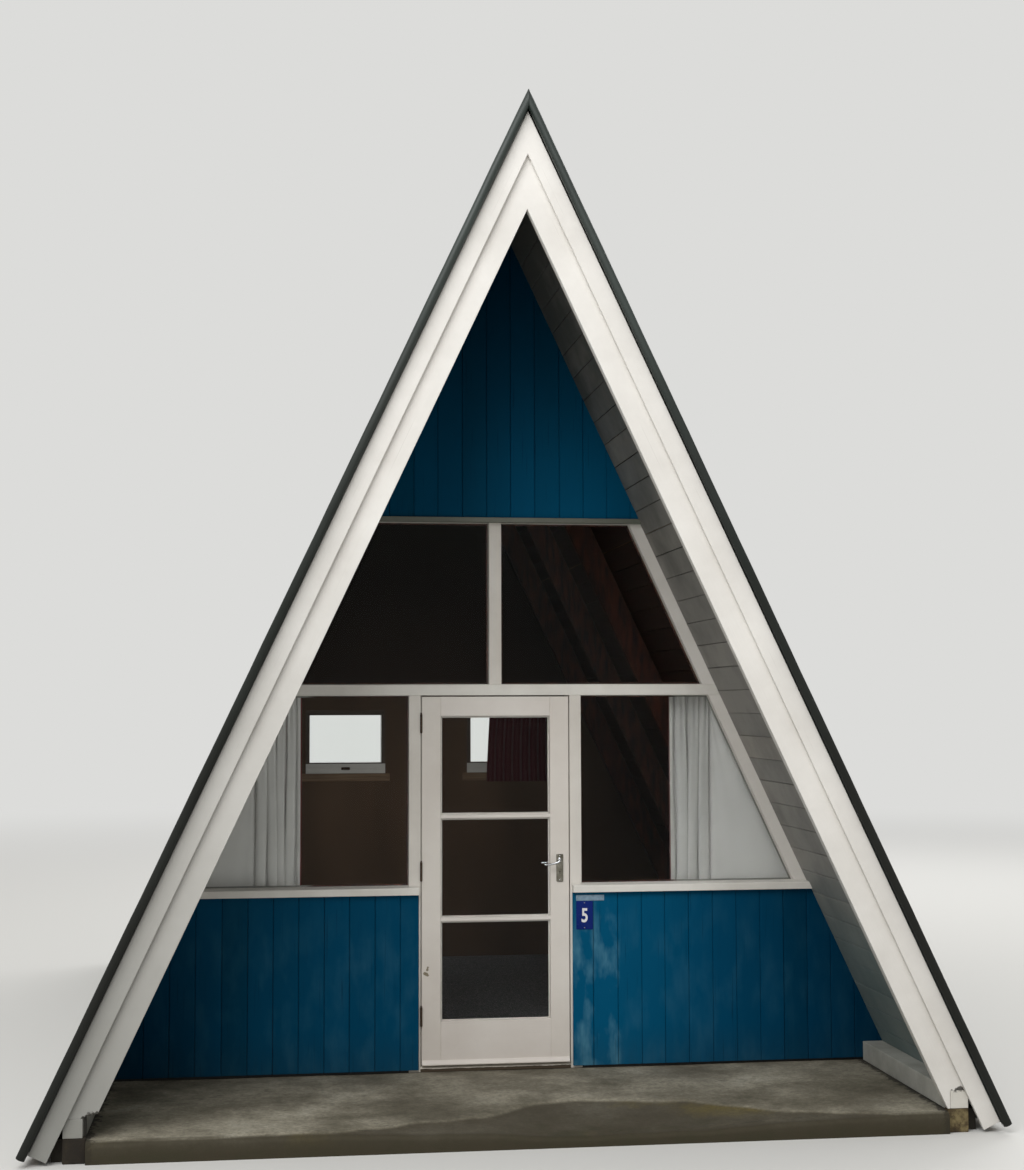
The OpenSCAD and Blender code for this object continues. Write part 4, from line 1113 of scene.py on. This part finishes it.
def ease(node, width, material, body="root", change=None):
    """A copy of a CAD node with rounded edges. It stands for the node."""
    piece = in_scene(node + "_eased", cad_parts[node].data.copy())
    round_edges(piece, width, change)
    return hang(piece, material, body, [node], 40)


def dress(node, material):
    """Gives a CAD node itself a better finish."""
    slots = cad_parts[node].data.materials
    slots.clear()
    slots.append(material)


print("loose triangles of the CAD's mullion:", len(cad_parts["mullion"].data.polygons))

# %% [markdown]
# The feet of the front rafters stand on concrete in the rain. They were cut out and pieced with
# blocks once, and rot has started again. The edges at the cuts are found by the lines on which they
# lie, because a CAD mesh has no names for its edges, and are subdivided so that they can be broken.

# %% Edges at the rafters' feet
BLOCK_WIDTH, RAFTER_DEPTH = 0.090, 0.145
STUB = 0.114  # height left of the left rafter's tip
NOTCH_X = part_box("foot_blocks")[1].x - BLOCK_WIDTH
TIP_X = half_width(FOOT_LOW) - RAFTER_DEPTH / SIN
rafter_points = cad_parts["barge_rafters_front"].data.vertices
CUT_END_X = max(v.co.x for v in rafter_points if abs(v.co.z - FOOT_TOP) < 0.001)
HOLE_X = CUT_X - 0.001


def near_line(point, start, end):
    """True where a point's x and z lie within 0.5 mm of the line from start to end."""
    way = np.subtract(end, start)
    reach = math.hypot(*way)
    off = np.subtract((point.x, point.z), start)
    along = float(off @ way) / reach
    return abs(float(off[0] * way[1] - off[1] * way[0])) / reach < 5e-4 and -5e-4 < along < reach + 5e-4


def cut_up(work, start, end, cuts):
    """Subdivides the edges on a line and returns the vertices that then lie on it."""
    edges = [e for e in work.edges if all(near_line(v.co, start, end) for v in e.verts)
             and abs(e.verts[0].co.y - e.verts[1].co.y) < 1e-4]
    bmesh.ops.subdivide_edges(work, edges=edges, cuts=cuts, use_grid_fill=True)
    return [v for v in work.verts if near_line(v.co, start, end)]


print("cut at x", round(NOTCH_X, 3), "to", round(CUT_END_X, 3))

# %% [markdown]
# The new points are moved about at random, by a few millimetres, and their edges stay raw when the
# others are rounded. Sculpting could do it by hand, but a rule with a seeded random number gives the
# same feet in each run.

# %% Rotten feet of the front rafters
def rot(work):
    """Weathers both front feet. On the left the sliver beside the block has rotted off up to the
    block's top, in a ragged slope. On the right the rafter has cracked open along the block, with
    a hole: lift = 1.5 mm + 13 mm e^(-((x - hole) / 24 mm)^4), on the weather side only."""
    stub = ((-NOTCH_X, FOOT_TOP + 0.005), (-TIP_X + STUB / TAN, FOOT_LOW + STUB))
    for vert in work.verts:
        if vert.co.x < 0 and abs(vert.co.z - FOOT_LOW) < 0.002:
            vert.co.x, vert.co.z = stub[0] if abs(vert.co.x + NOTCH_X) < 0.004 else stub[1]
    weathered = RAFTER + 0.02
    ragged = cut_up(work, *stub, 9)
    for vert in ragged:
        vert.co.z += rng.uniform(-0.007, 0.004)
        if vert.co.y < weathered:
            vert.co.y += rng.uniform(0.0, 0.003)
    side = cut_up(work, (NOTCH_X, FOOT_LOW), (NOTCH_X, FOOT_TOP), 9)
    for vert in side:
        if vert.co.y < weathered:
            vert.co.x -= rng.uniform(0.0004, 0.0022)
    top = cut_up(work, (NOTCH_X, FOOT_TOP), (CUT_END_X, FOOT_TOP), 18)
    for vert in top:
        if vert.co.y < weathered:
            hole = 0.013 * math.exp(-(((vert.co.x - HOLE_X) / 0.024) ** 4))
            vert.co.z += 0.0015 + hole * rng.uniform(0.5, 1.2) + rng.uniform(-0.001, 0.001)
    print("raw vertices at the feet:", len(ragged), len(side), len(top))
    return {*ragged, *side, *top}


ease("barge_rafters_front", 0.0025, foot_paint, change=rot)

# %% [markdown]
# The other beams keep the CAD's exact form. Their copies get edges rounded by 2 to 6 mm, as a plane,
# a mould or years of paint leave them. Panes, panels, battens, hinges and carpet have crisp edges,
# or none that shows, so the CAD node itself is dressed in its finish.

# %% Ease the painted timber
EASED = (
    (0.0025, barge_paint, ("barge_boards_front", "barge_boards_rear", "barge_rafters_rear")),
    (0.003, block_paint, ("foot_blocks",)),
    (0.003, toe_paint, ("toe_board_left", "toe_board_right")),
    (0.002, upright_paint, ("door_post_left", "door_post_right", "mullion")),
    (0.002, level_paint, ("transom", "sill_left", "sill_right")),
    (0.002, rail_paint, ("gable_rail",)),
    (0.002, step_paint, ("threshold",)),
    (0.002, frame_paint, ("slope_frame_left", "slope_frame_right")),
    (0.003, stained, ("rafters_left", "rafters_right", "ridge_board")),
    (0.006, cast_concrete, ("corner_piers",)),
    (0.002, sash_paint, ("rear_window_frames",)),
    (0.003, satin, ("curtain_tracks",)),
)
for width, material, nodes in EASED:
    for node in nodes:
        ease(node, width, material)
ease("weather_bar", 0.002, door_rail_paint, body="door")

DRESSED = (
    (bare_pine, ("battens_left", "battens_right")),
    (panel_paint, ("front_wall_left", "front_wall_right", "gable_wall", "rear_wall")),
    (carpet_pile, ("carpet",)),
    (glass, ("upper_panes", "lower_panes", "rear_panes", "door_glass")),
    (bronze, ("hinge_frame_halves", "hinge_door_halves")),
)
for material, nodes in DRESSED:
    for node in nodes:
        dress(node, material)
print("kinds of CAD node dressed as they are:", len(DRESSED))

# %% [markdown]
# Under each back window a thin brown board covers the joint with the wall lining. It is a beam: a
# box with its edges cut, which a primitive cube with a Bevel modifier would give too. Worked out
# points need no scaling, so the chamfer is the same on all its edges.

# %% Window boards
def beams(boxes, chamfer):
    """Chamfered bars that fill boxes of (low corner, high corner), along each box's longest side.
    The section is a rectangle whose four corners are cut: half size * sign - chamfer * cut."""
    sign = np.array([(1, 1), (1, 1), (-1, 1), (-1, 1), (-1, -1), (-1, -1), (1, -1), (1, -1)])
    cut = np.array([(0, 1), (1, 0), (-1, 0), (0, 1), (0, -1), (-1, 0), (1, 0), (0, -1)])
    made = []
    for low, high in boxes:
        low, high = np.array(low, float), np.array(high, float)
        size = high - low
        axis = int(size.argmax())
        flat = [i for i in range(3) if i != axis]
        half = size[flat] / 2 - np.array([chamfer, 0, 0, chamfer])[:, None]
        points = np.empty((4, 8, 3))
        points[..., flat] = (low + high)[flat] / 2 + half[:, None] * sign - chamfer * cut
        points[..., axis] = low[axis] + np.array([0, chamfer, size[axis] - chamfer, size[axis]])[:, None]
        made.append(bars(points[None]))
    return join(*made)


board_y = (INNER_FACE - 0.0118, INNER_FACE - 0.0002)
board_z = (WINDOW_Z[0] - 0.060, WINDOW_Z[0] - 0.001)
window_boards = []
for side in (-1, 1):
    ends = sorted((side * (WINDOW_X[0] - 0.035), side * (WINDOW_X[1] + 0.035)))
    window_boards.append(tuple(zip(ends, board_y, board_z)))
make("window_boards", beams(window_boards, 0.002), board_stain)

# %% [markdown]
# ## The slab
# The top of the slab is one height field. It is level up to a worn edge line, which was measured on
# the photograph, and falls from there to the front in a shallow apron, deepest before the door. A
# displacement texture could do it too, but a formula in x and y can be checked with a number.

# %% Height of the slab
EDGE_X = np.array([-2.3, -1.97, -1.53, -1.08, -0.62, -0.21, 0.12, 0.43, 0.84, 1.17, 1.41, 1.66, 2.3])
EDGE_Y = np.array([-1.30, -1.30, -1.29, -1.27, -1.19, -1.05, -0.80, -0.75, -0.87, -1.07, -1.19, -1.27, -1.30])
NOSE = 0.022  # radius of the slab's front edge


def slab_height(x, y):
    """Level, less a rounded step of 9 mm at the worn edge and a fall of 1 in 11 beyond it, plus
    gentle unevenness of 1 to 2 mm."""
    edge = WALL + np.interp(x, EDGE_X, EDGE_Y) + 0.02 * np.sin(x * 9) + 0.012 * np.sin(x * 23 + 1)
    beyond = np.clip(edge - y, 0, None)
    step = 0.009 * (1 - np.exp(-beyond / 0.02))
    nose = np.clip(NOSE - (y - FRONT), 0, None)
    nose = NOSE - np.sqrt(np.clip(NOSE**2 - nose**2, 0, None))
    uneven = 0.0011 * np.sin(x * 3.1 + y * 2) + 0.0008 * np.sin(x * 7.3 - y * 5) + 0.0007 * np.sin(y * 13 + x)
    return SLAB - 0.0022 - step - beyond / 11 - nose + uneven * (y < ROOM)


print("slab height at the front middle:", round(float(slab_height(0.3, FRONT + 0.03)), 3))

# %% [markdown]
# The grid's rows lie closer where the front edge is round and where the notches for the corner piers
# end. Its columns are spread over the width that the slab has in each row.

# %% Slab surface
PIER, FIT = (0.105, 0.050), 0.0003  # pier in x and y, and the clearance round it
NOTCH = -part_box("corner_piers")[0].x - PIER[0] - FIT
NOTCH_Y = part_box("corner_piers")[0].y + PIER[1] + FIT
SLAB_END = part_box("floor_slab")[1]
y_rows = np.concatenate([
    FRONT + np.array([0.0, 0.0015, 0.004, 0.008, 0.014, NOSE]),
    np.linspace(FRONT + 0.03, NOTCH_Y - 0.0004, 4),
    np.linspace(NOTCH_Y, WALL + 0.01, 60),
    np.linspace(ROOM, SLAB_END.y, 12),
])
half = np.where(y_rows < NOTCH_Y - 0.0002, NOTCH, SLAB_END.x)
x_grid = half[:, None] * np.linspace(-1, 1, 221)
y_grid = np.broadcast_to(y_rows[:, None], x_grid.shape)
top = np.stack([x_grid, y_grid, slab_height(x_grid, y_grid)], -1)
make("slab_surface", shell(top, top * (1, 1, 0)), concrete, replaced=["floor_slab"], sharp=50)

# %% [markdown]
# ## The door
# A joined door: two stiles run the full height, with the rails and two slim bars between them. Each
# member is its own beam with small chamfers, so the joints show as hairlines under the paint.

# %% Door members
STILE, TOP_RAIL, BOTTOM_RAIL, BAR = 0.1045, 0.106, 0.229, 0.020
SHY = 0.0004  # rails stand that much behind the stiles
inner_x = LEAF_HIGH.x - STILE
light_high = (LEAF_HIGH.z - LEAF_LOW.z - TOP_RAIL - BOTTOM_RAIL - 2 * BAR) / 3
lights = [LEAF_LOW.z + BOTTOM_RAIL + i * (light_high + BAR) for i in range(3)]
rail_heights = [(LEAF_LOW.z, lights[0]), (LEAF_HIGH.z - TOP_RAIL, LEAF_HIGH.z)]
rail_heights += [(z + light_high, z + light_high + BAR) for z in lights[:2]]
stiles = beams([((x, LEAF_LOW.y, LEAF_LOW.z), (x + STILE, LEAF_HIGH.y, LEAF_HIGH.z))
                for x in (LEAF_LOW.x, inner_x)], 0.0022)
rails = beams([((-inner_x, LEAF_LOW.y + SHY, a), (inner_x, LEAF_HIGH.y - SHY, b))
               for a, b in rail_heights], 0.0016)
make("door_stiles", stiles, door_paint, body="door", replaced=["door_leaf"])
make("door_rails", rails, door_rail_paint, body="door")

# %% [markdown]
# Every pane is bedded in putty on the side of the weather and held inside by a slim wooden bead,
# mitred at the corners. One function lays a bead round any flat outline. It moves each side of the
# outline inwards and finds the new corners where the moved sides cross. An Inset in Edit mode does
# the same by hand, but these openings are read from the CAD and may change with it.

# %% Mitred frames
def inset(corners, distance):
    """The outline with each side moved inwards: neighbouring moved sides are crossed by solving
    two line equations."""
    corners = np.asarray(corners, float)
    ahead = np.roll(corners, -1, 0)
    area = np.sum(corners[:, 0] * ahead[:, 1] - corners[:, 1] * ahead[:, 0])
    side = ahead - corners
    normal = np.stack([-side[:, 1], side[:, 0]], -1) / np.linalg.norm(side, axis=1)[:, None] * np.sign(area)
    reach = np.sum(normal * corners, 1) + distance
    system = np.stack([np.roll(normal, 1, 0), normal], 1)
    return np.linalg.solve(system, np.stack([np.roll(reach, 1), reach], 1)[..., None])[..., 0]


def ring(loops):
    """A closed frame from loops[section corner, path corner, xyz]: quads round both ways."""
    corners, path, _ = loops.shape
    near = np.arange(corners * path).reshape(corners, path)
    ahead = np.roll(near, -1, 0)
    quads = np.stack([near, np.roll(near, -1, 1), np.roll(ahead, -1, 1), ahead], -1)
    return loops.reshape(-1, 3), quads.reshape(-1, 4).tolist()


def bead(corners, section):
    """A mitred frame: section is pairs of (distance in from the outline, y)."""
    flat = [(inset(corners, distance), y) for distance, y in section]
    return ring(np.array([np.insert(outline, 1, y, axis=1) for outline, y in flat]))


print("a unit square moved in by 0.1:", inset([(0, 0), (1, 0), (1, 1), (0, 1)], 0.1).round(2).tolist())

# %% [markdown]
# The wooden bead is a quarter round, and the putty is a thin slanted fillet that a knife has struck
# off between the glass and the frame's edge. The door has three panes, so it has six frames.

# %% Glazing beads of the door
def quarter(y_glass, size=0.011):
    """Section of a rounded bead that stands inside on the glass and leans on the frame."""
    angle = np.linspace(0, math.pi / 2, 5)
    curve = [(size * math.cos(a) * 0.9 + 0.001, y_glass + 0.001 + size * math.sin(a)) for a in angle]
    return [(-0.0005, y_glass), (size, y_glass), *curve, (-0.0005, y_glass + size)]


def putty(y_glass, deep):
    """Section of a putty fillet outside the glass: 2.5 mm wide at the glass, thin at the edge."""
    fillet = [(0.0025, 0.0), (0.0019, 0.4 * deep), (0.0004, deep)]
    return [(x, y_glass - y) for x, y in [(-0.0005, 0.0), *fillet, (-0.0005, deep)]]


DOOR_GLASS, DOOR_PANE = WALL + 0.018, 0.004
door_beads = []
for z in lights:
    outline = [(-inner_x, z), (inner_x, z), (inner_x, z + light_high), (-inner_x, z + light_high)]
    door_beads.append(bead(outline, putty(DOOR_GLASS, 0.014)))
    door_beads.append(bead(outline, quarter(DOOR_GLASS + DOOR_PANE, 0.009)))
make("door_beads", join(*door_beads), door_rail_paint, body="door", sharp=50)

# %% [markdown]
# The fixed windows have one sloping side. Their openings are read from the posts, rails and sills
# that frame them, and the left ones are the right ones with x turned round. The putty is painted
# with the frames, and the beads inside are stained, but grey beside the curtains as painted shadow.

# %% Putty and beads of the windows
GLASS_Y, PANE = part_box("lower_panes")[0].y, 0.0062
mullion_x, post_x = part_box("mullion")[1].x, -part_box("front_wall_left")[1].x
transom_low, transom_high = (corner.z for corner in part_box("transom"))
sill_top, gable_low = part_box("sill_left")[1].z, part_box("gable_rail")[0].z


def frame_edge(z, foot, head):
    """Inner edge of a sloping frame, 66 mm wide at its foot and 60 mm at its head."""
    return half_width(z) - (0.066 - 0.006 * (z - foot) / (head - foot)) / SIN


outlines = []
for x, foot, head in ((mullion_x, transom_high, gable_low), (post_x, sill_top, transom_low)):
    foot_x, head_x = (frame_edge(z, foot, head) for z in (foot, head))
    outline = [(x, foot), (foot_x, foot), (head_x, head), (x, head)]
    outlines += [outline, [(-x, z) for x, z in outline]]
window_putty = join(*[bead(outline, putty(GLASS_Y, 0.030)) for outline in outlines])
inner_beads = join(*[bead(outline, quarter(GLASS_Y + PANE)) for outline in outlines])
make("window_putty", window_putty, level_paint, sharp=30)
make("window_inner_beads", inner_beads, bead_stain_and_shadow, sharp=30)

# %% [markdown]
# ## Furniture of the door
# The lever handle is bent from one tapered bar: a neck comes straight out of the plate, turns, and
# runs off sideways in a shallow curve. A curve object with a bevel and a taper would do it too. The
# sections are worked out instead, because the bar's width and height taper differently.

# %% Shape of a lever
plate_low, plate_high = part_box("handle_plates")
SPINDLE_X, SPINDLE_Z = (plate_low.x + plate_high.x) / 2, SLAB + 1.125
LEVER_LENGTH, LEVER_DROP, NECK, BEND = 0.090, 0.024, 0.0245, 0.009
FIRST_DROP = 0.0099  # what the bend has fallen at its end


def swept(path, widths, heights, up, sides=14):
    """A bar of elliptical section along a path: the section's axes are up made square to the
    tangent, and their cross product."""
    tangent = np.gradient(path, axis=0)
    tangent /= np.linalg.norm(tangent, axis=1)[:, None]
    rise = np.array(up) - tangent * (tangent @ np.array(up))[:, None]
    rise /= np.linalg.norm(rise, axis=1)[:, None]
    across = np.cross(tangent, rise)
    angle = np.arange(sides) / sides * math.tau
    points = (path[:, None] + (heights[:, None] * np.sin(angle))[..., None] * rise[:, None]
              + (widths[:, None] * np.cos(angle))[..., None] * across[:, None])
    return bars(points[None])


def lever(y_plate, out):
    """Neck and lever on one side of the door. A quarter turn joins them, and the lever falls
    quickly at first and then runs almost level: fall = drop (1 - (1 - t)^2.4)."""
    neck_y = np.linspace(0, NECK, 9)
    neck = np.stack([0 * neck_y, out * neck_y, 0 * neck_y], -1)
    turn = np.linspace(0, math.pi / 2, 8)[1:]
    bend = np.stack([-BEND * (1 - np.cos(turn)), out * (NECK + BEND * np.sin(turn)), -0.004 * turn**2], -1)
    t = np.linspace(0, 1, 18)[1:]
    fall = FIRST_DROP + (LEVER_DROP - FIRST_DROP) * (1 - (1 - t) ** 2.4)
    arm = np.stack([-BEND - (LEVER_LENGTH - BEND) * t, out * (NECK + BEND + 0.003 * t), -fall], -1)
    path = np.concatenate([neck, bend, arm]) + np.array([SPINDLE_X, y_plate, SPINDLE_Z])
    share = np.linspace(0, 1, len(path))
    heights = 0.0054 + 0.0012 * np.sin(share * math.pi) - 0.0010 * share
    widths = 0.0056 - 0.0018 * share
    heights[-1] *= 0.5
    widths[-1] *= 0.5
    return swept(path, widths, heights, up=(0.2, 0.0, 1.0))


print("spindle at", round(SPINDLE_X, 3), round(SPINDLE_Z, 3))

# %% [markdown]
# The same bar sits on the inside, joined by the spindle. Both ride on the lever's own body, so they
# turn against the plates.

# %% Levers
spindle_y = np.linspace(plate_low.y - 0.002, plate_high.y + 0.002, 4)
spindle = np.stack([0 * spindle_y + SPINDLE_X, spindle_y, 0 * spindle_y + SPINDLE_Z], -1)
levers = join(lever(plate_low.y, -1), lever(plate_high.y, 1), rod(spindle, 0.0045))
make("levers", levers, chrome, body="lever", replaced=["lever_handles"], sharp=60)

# %% [markdown]
# The long plates are pressed from sheet, with soft edges. A plate is a bar too, only very short: its
# outline is repeated at four heights, and the last two are drawn in.

# %% Lever plates
def rounded_plate(x, z, width, height, y, out, thickness, radius):
    """A plate with round corners: the outline at four heights, the last ones drawn in for a soft
    edge. x and z are its middle."""
    angle = np.linspace(0, math.tau, 33)[:-1]
    corner_x = np.sign(np.cos(angle + 1e-9)) * (width / 2 - radius)
    corner_z = np.sign(np.sin(angle + 1e-9)) * (height / 2 - radius)
    points = []
    for rise, draw in ((0.0, 0.0), (0.6, 0.0), (0.88, 0.12), (1.0, 0.45)):
        r = max(radius - thickness * draw, 0.0003)
        across = corner_x + r * np.cos(angle) - np.sign(corner_x) * max(thickness * draw - radius, 0)
        up = corner_z + r * np.sin(angle)
        points.append(np.stack([x + across, np.full(32, y + out * thickness * rise), z + up], -1))
    return bars(np.array(points)[None])


middle = (plate_low + plate_high) / 2
size = plate_high - plate_low
plates = [rounded_plate(middle.x, middle.z, size.x, size.z, y, out, 0.007, 0.006)
          for y, out in ((LEAF_LOW.y, -1), (LEAF_HIGH.y, 1))]
make("lever_plates", join(*plates), old_chrome, body="door", replaced=["handle_plates"], sharp=40)

# %% [markdown]
# Each plate has a collar round the spindle, two screws and a keyhole. The keyhole is painted shade: a
# dark button and a dark slot under it, laid on the plate. A Boolean could cut a real hole, but so small
# a one shows only as dark.

# %% Collars, screws and keyholes
def button(x, z, y, out, radius, height, sides=16):
    """A low turned button that stands on a face at y. out is the side it faces."""
    points, faces = turned([(radius, 0), (radius, height * 0.5), (radius * 0.75, height)], sides)
    return np.stack([x + points[:, 0], y + out * points[:, 2], z + points[:, 1]], -1), faces


plate_faces = ((plate_low.y, -1), (plate_high.y, 1))
KEYHOLE_Z, KEYHOLE_RISE, SCREW_OFF = middle.z - 0.020, 0.0006, 0.066
collars = [button(SPINDLE_X, SPINDLE_Z, y, out, 0.0105, 0.003, 24) for y, out in plate_faces]
screws = [button(middle.x, middle.z + off, y, out, 0.0032, 0.0012)
          for y, out in plate_faces for off in (-SCREW_OFF, SCREW_OFF)]
make("plate_collars_and_screws", join(*collars, *screws), chrome, body="door", sharp=40)
holes = []
for y, out in plate_faces:
    low_y, high_y = sorted((y, y + out * KEYHOLE_RISE))
    slot = ((middle.x - 0.0016, low_y, KEYHOLE_Z - 0.013), (middle.x + 0.0016, high_y, KEYHOLE_Z))
    holes += [button(middle.x, KEYHOLE_Z, y, out, 0.0035, KEYHOLE_RISE), beams([slot], 0.0001)]
make("keyholes", join(*holes), keyhole_shade, body="door")

# %% [markdown]
# Each hinge pin ends in a small button above its top knuckle and one below its lowest. They are
# turned solids, and the lower one is the upper one upside down.

# %% Hinge buttons
HINGE_X, HINGE_Y = -0.4075, WALL - 0.008
hinge_middles = [LEAF_LOW.z + 0.260, LEAF_LOW.z + 1.035, LEAF_HIGH.z - 0.145]
points, faces = turned([(0.0048, 0.0), (0.0056, 0.0015), (0.0045, 0.0035), (0.002, 0.0045)], 14)
buttons = [(points * (1, 1, flip) + (HINGE_X, HINGE_Y, z + start), faces)
           for z in hinge_middles for start, flip in ((0.0535, 1), (-0.0495, -1))]
make("hinge_buttons", join(*buttons), bronze, sharp=50)

# %% [markdown]
# Each back sash is held shut by a small bronzed fastener in the middle of its bottom rail: a
# plate with a short handle lying on it.

# %% Window fasteners
rail_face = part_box("rear_window_frames")[0].y
rail_middle = (WINDOW_Z[0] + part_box("rear_panes")[0].z) / 2
fasteners = []
for side in (-1, 1):
    x = side * sum(WINDOW_X) / 2
    fasteners.append(rounded_plate(x, rail_middle, 0.070, 0.022, rail_face, -1, 0.004, 0.008))
    fasteners.append(rounded_plate(x + 0.008, rail_middle, 0.050, 0.011, rail_face - 0.004, -1, 0.006, 0.005))
make("window_fasteners", join(*fasteners), bronze, sharp=40)

# %% [markdown]
# ## Number and strip
# Both are thin enamelled plates with round corners, screwed to the blue boards near their ends, so
# they are made as the lever plates are, and their screws are the same turned buttons.

# %% Number plate and strip
number_low, number_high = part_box("number_plate")
strip_low, strip_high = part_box("name_strip")
SIGN_Y, SIGN = number_high.y, 0.002
middle, centre = (number_low + number_high) / 2, (strip_low + strip_high) / 2
number_size, strip_size = number_high - number_low, strip_high - strip_low
enamel = rounded_plate(middle.x, middle.z, number_size.x, number_size.z, SIGN_Y, -1, SIGN, 0.004)
make("number_plate_enamel", enamel, number_blue, replaced=["number_plate"], sharp=40)
strip = rounded_plate(centre.x, centre.z, strip_size.x, strip_size.z, SIGN_Y, -1, SIGN, 0.002)
make("bare_strip", strip, strip_blue, replaced=["name_strip"], sharp=40)
screw_places = ((middle.x, number_high.z - 0.009), (middle.x, number_low.z + 0.009),
                (strip_low.x + 0.008, centre.z), (strip_high.x - 0.008, centre.z))
sign_screws = [button(x, z, SIGN_Y - SIGN, -1, 0.0032, 0.0012) for x, z in screw_places]
make("sign_screws", join(*sign_screws), zinc, sharp=40)

# %% [markdown]
# The figure comes from a text object, which is made a mesh so that its points can be moved to their
# place on the plate. It is drawn a little narrow and bold, as the enamel's stencil is.

# %% Figure
NARROW, ENAMEL = 0.76, 0.0002  # share of the font's width, and half the figure's thickness
text = bpy.data.curves.new("figure", "FONT")
text.body = "5"
text.align_x = text.align_y = "CENTER"
text.size = 0.104
text.offset = 0.0024
text.extrude = ENAMEL
holder = in_scene("figure", text)
bpy.context.view_layer.update()
figure = bpy.data.meshes.new_from_object(holder)
bpy.data.objects.remove(holder)
points = np.array([v.co for v in figure.vertices])
points[:, :2] -= (points[:, :2].min(0) + points[:, :2].max(0)) / 2
across, up, out = points.T
points = np.stack([middle.x + across * NARROW, SIGN_Y - SIGN - ENAMEL - out, middle.z + up], -1)
faces = [list(face.vertices) for face in figure.polygons]
make("number_figure", (points, faces), number_white, sharp=30)

# %% [markdown]
# ## The curtains
# A curtain is wider than its window and hangs from a track. Drawn back, most of it stands in deep
# upright folds, and the rest is pulled flat along the slope. It is one sheet: x follows the opening
# and y carries the folds, whose depth fades from the gathered edge to the flat part. A cloth
# simulation would find folds of its own, and these have to be where the photograph has them.

# %% Shape of a front curtain
CURTAIN_Y = ROOM + 0.027
TRACK_Z = transom_low + 0.020


def front_curtain(side, near, gathered, folds, seed):
    """Rows run down from the track, columns out from the middle. Across the gather k counts folds:
    x = k + 0.15 sin(2 pi k) and y = 1 - 2 sqrt|cos(pi k)| make broad round fronts and narrow
    valleys, which lean a little. Small pleats start at the heading. The flat part hangs behind and
    follows the slope."""
    draw = np.random.default_rng(seed)
    v = np.linspace(0, 1, 64)[:, None]
    u = np.linspace(0, 1, 320)[None]
    z = TRACK_Z - 0.001 - v * (TRACK_Z - 0.001 - (SILL - 0.070)) + 0 * u
    share = 0.8
    across = np.clip(u / share, 0, 1)
    flat = np.clip((u - share) / (1 - share), 0, 1)
    k = (folds - 0.5) * across
    counts = np.arange(folds + 1)
    stops = np.concatenate([[0], np.cumsum(draw.uniform(0.6, 1.4, folds))])
    lean = 0.17 * np.sin(3.4 * v + 1.7 * np.floor(k + 0.5) + seed) * np.sin(math.pi * across)
    spread = np.interp(k + lean, counts, stops) / np.interp(folds - 0.5, counts, stops)
    bulge = 0.15 * (gathered - near) / folds * np.sin(math.tau * k) * (u < share)
    outer_x = np.maximum(half_width(z) - 0.062, gathered + 0.012)
    x = near + (gathered - near) * np.clip(spread, 0, 1) + bulge + (outer_x - gathered) * flat
    depth = 0.019 * (0.85 + 0.15 * np.sin(4 * across + 3 * v + seed))
    y = depth * (1 - 2 * np.sqrt(np.abs(np.cos(math.pi * k))))
    y = y + 0.0055 * np.exp(-v * 5) * np.sin(math.tau * 3 * k + 4 * v)
    slack = np.exp(-flat * 7) * (1 + 0.5 * np.cos(22 * flat + 2 * v)) / 1.5
    y = np.where(u < share, y, depth * slack + 0.003 * np.sin(7 * flat + 3 * v + seed) * flat)
    return np.stack([side * x, CURTAIN_Y + y, z], -1)


print(f"curtains hang at y {CURTAIN_Y:.3f} from z {TRACK_Z:.3f}")

# %% [markdown]
# Its hem is tinted like the face.

# %% Hang the curtains
def sheet_area(points):
    """Sum of the areas of a grid's cells, by the cross product of their diagonals."""
    a = points[1:, 1:] - points[:-1, :-1]
    b = points[1:, :-1] - points[:-1, 1:]
    return float(np.linalg.norm(np.cross(a, b), axis=-1).sum() / 2)


def hang_cloth(name, points, material, node):
    """Gives the sheet 1.2 mm of thickness towards the room, tints its hem and works out its flat width and
    area.
    """
    shape = shell(points, points + np.array([0, 0.0012, 0]))
    hem = np.zeros(points.shape[:2])
    hem[:, :4] = 1.0
    tint = np.concatenate([hem.ravel(), np.ones(hem.size)])
    piece = make(name, shape, material, replaced=[node], tint=tint, sharp=60)
    width = round(float(np.linalg.norm(np.diff(points, axis=1), axis=-1).sum(1).max()), 3)
    area = round(sheet_area(points), 4)


drawn_back = {"right": (1, 0.992, 1.222, 4, 4), "left": (-1, 1.051, 1.300, 5, 9)}
for name, shape_of in drawn_back.items():
    hang_cloth("curtain_" + name, front_curtain(*shape_of), lining_cloth,
               "curtain_front_" + name)

# %% [markdown]
# The back curtain is thin maroon cotton with seven even folds, hung beside one window. Its folds are
# one sine wave across, which leans a little further down.

# %% Back curtain
low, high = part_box("curtain_rear")
v = np.linspace(0, 1, 24)[:, None]
u = np.linspace(0, 1, 150)[None]
x = low.x + (high.x - low.x - 0.024) * u + 0.03 * (1 - v) * (1 - u)
y = (low.y + high.y) / 2 + 0.016 * np.sin(math.tau * 7 * u + 0.8 * np.sin(3 * v))
z = high.z - v * (high.z - low.z) + 0 * u
points = np.stack([x, y, z], -1)
hang_cloth("curtain_back", points, maroon_cloth, "curtain_rear")
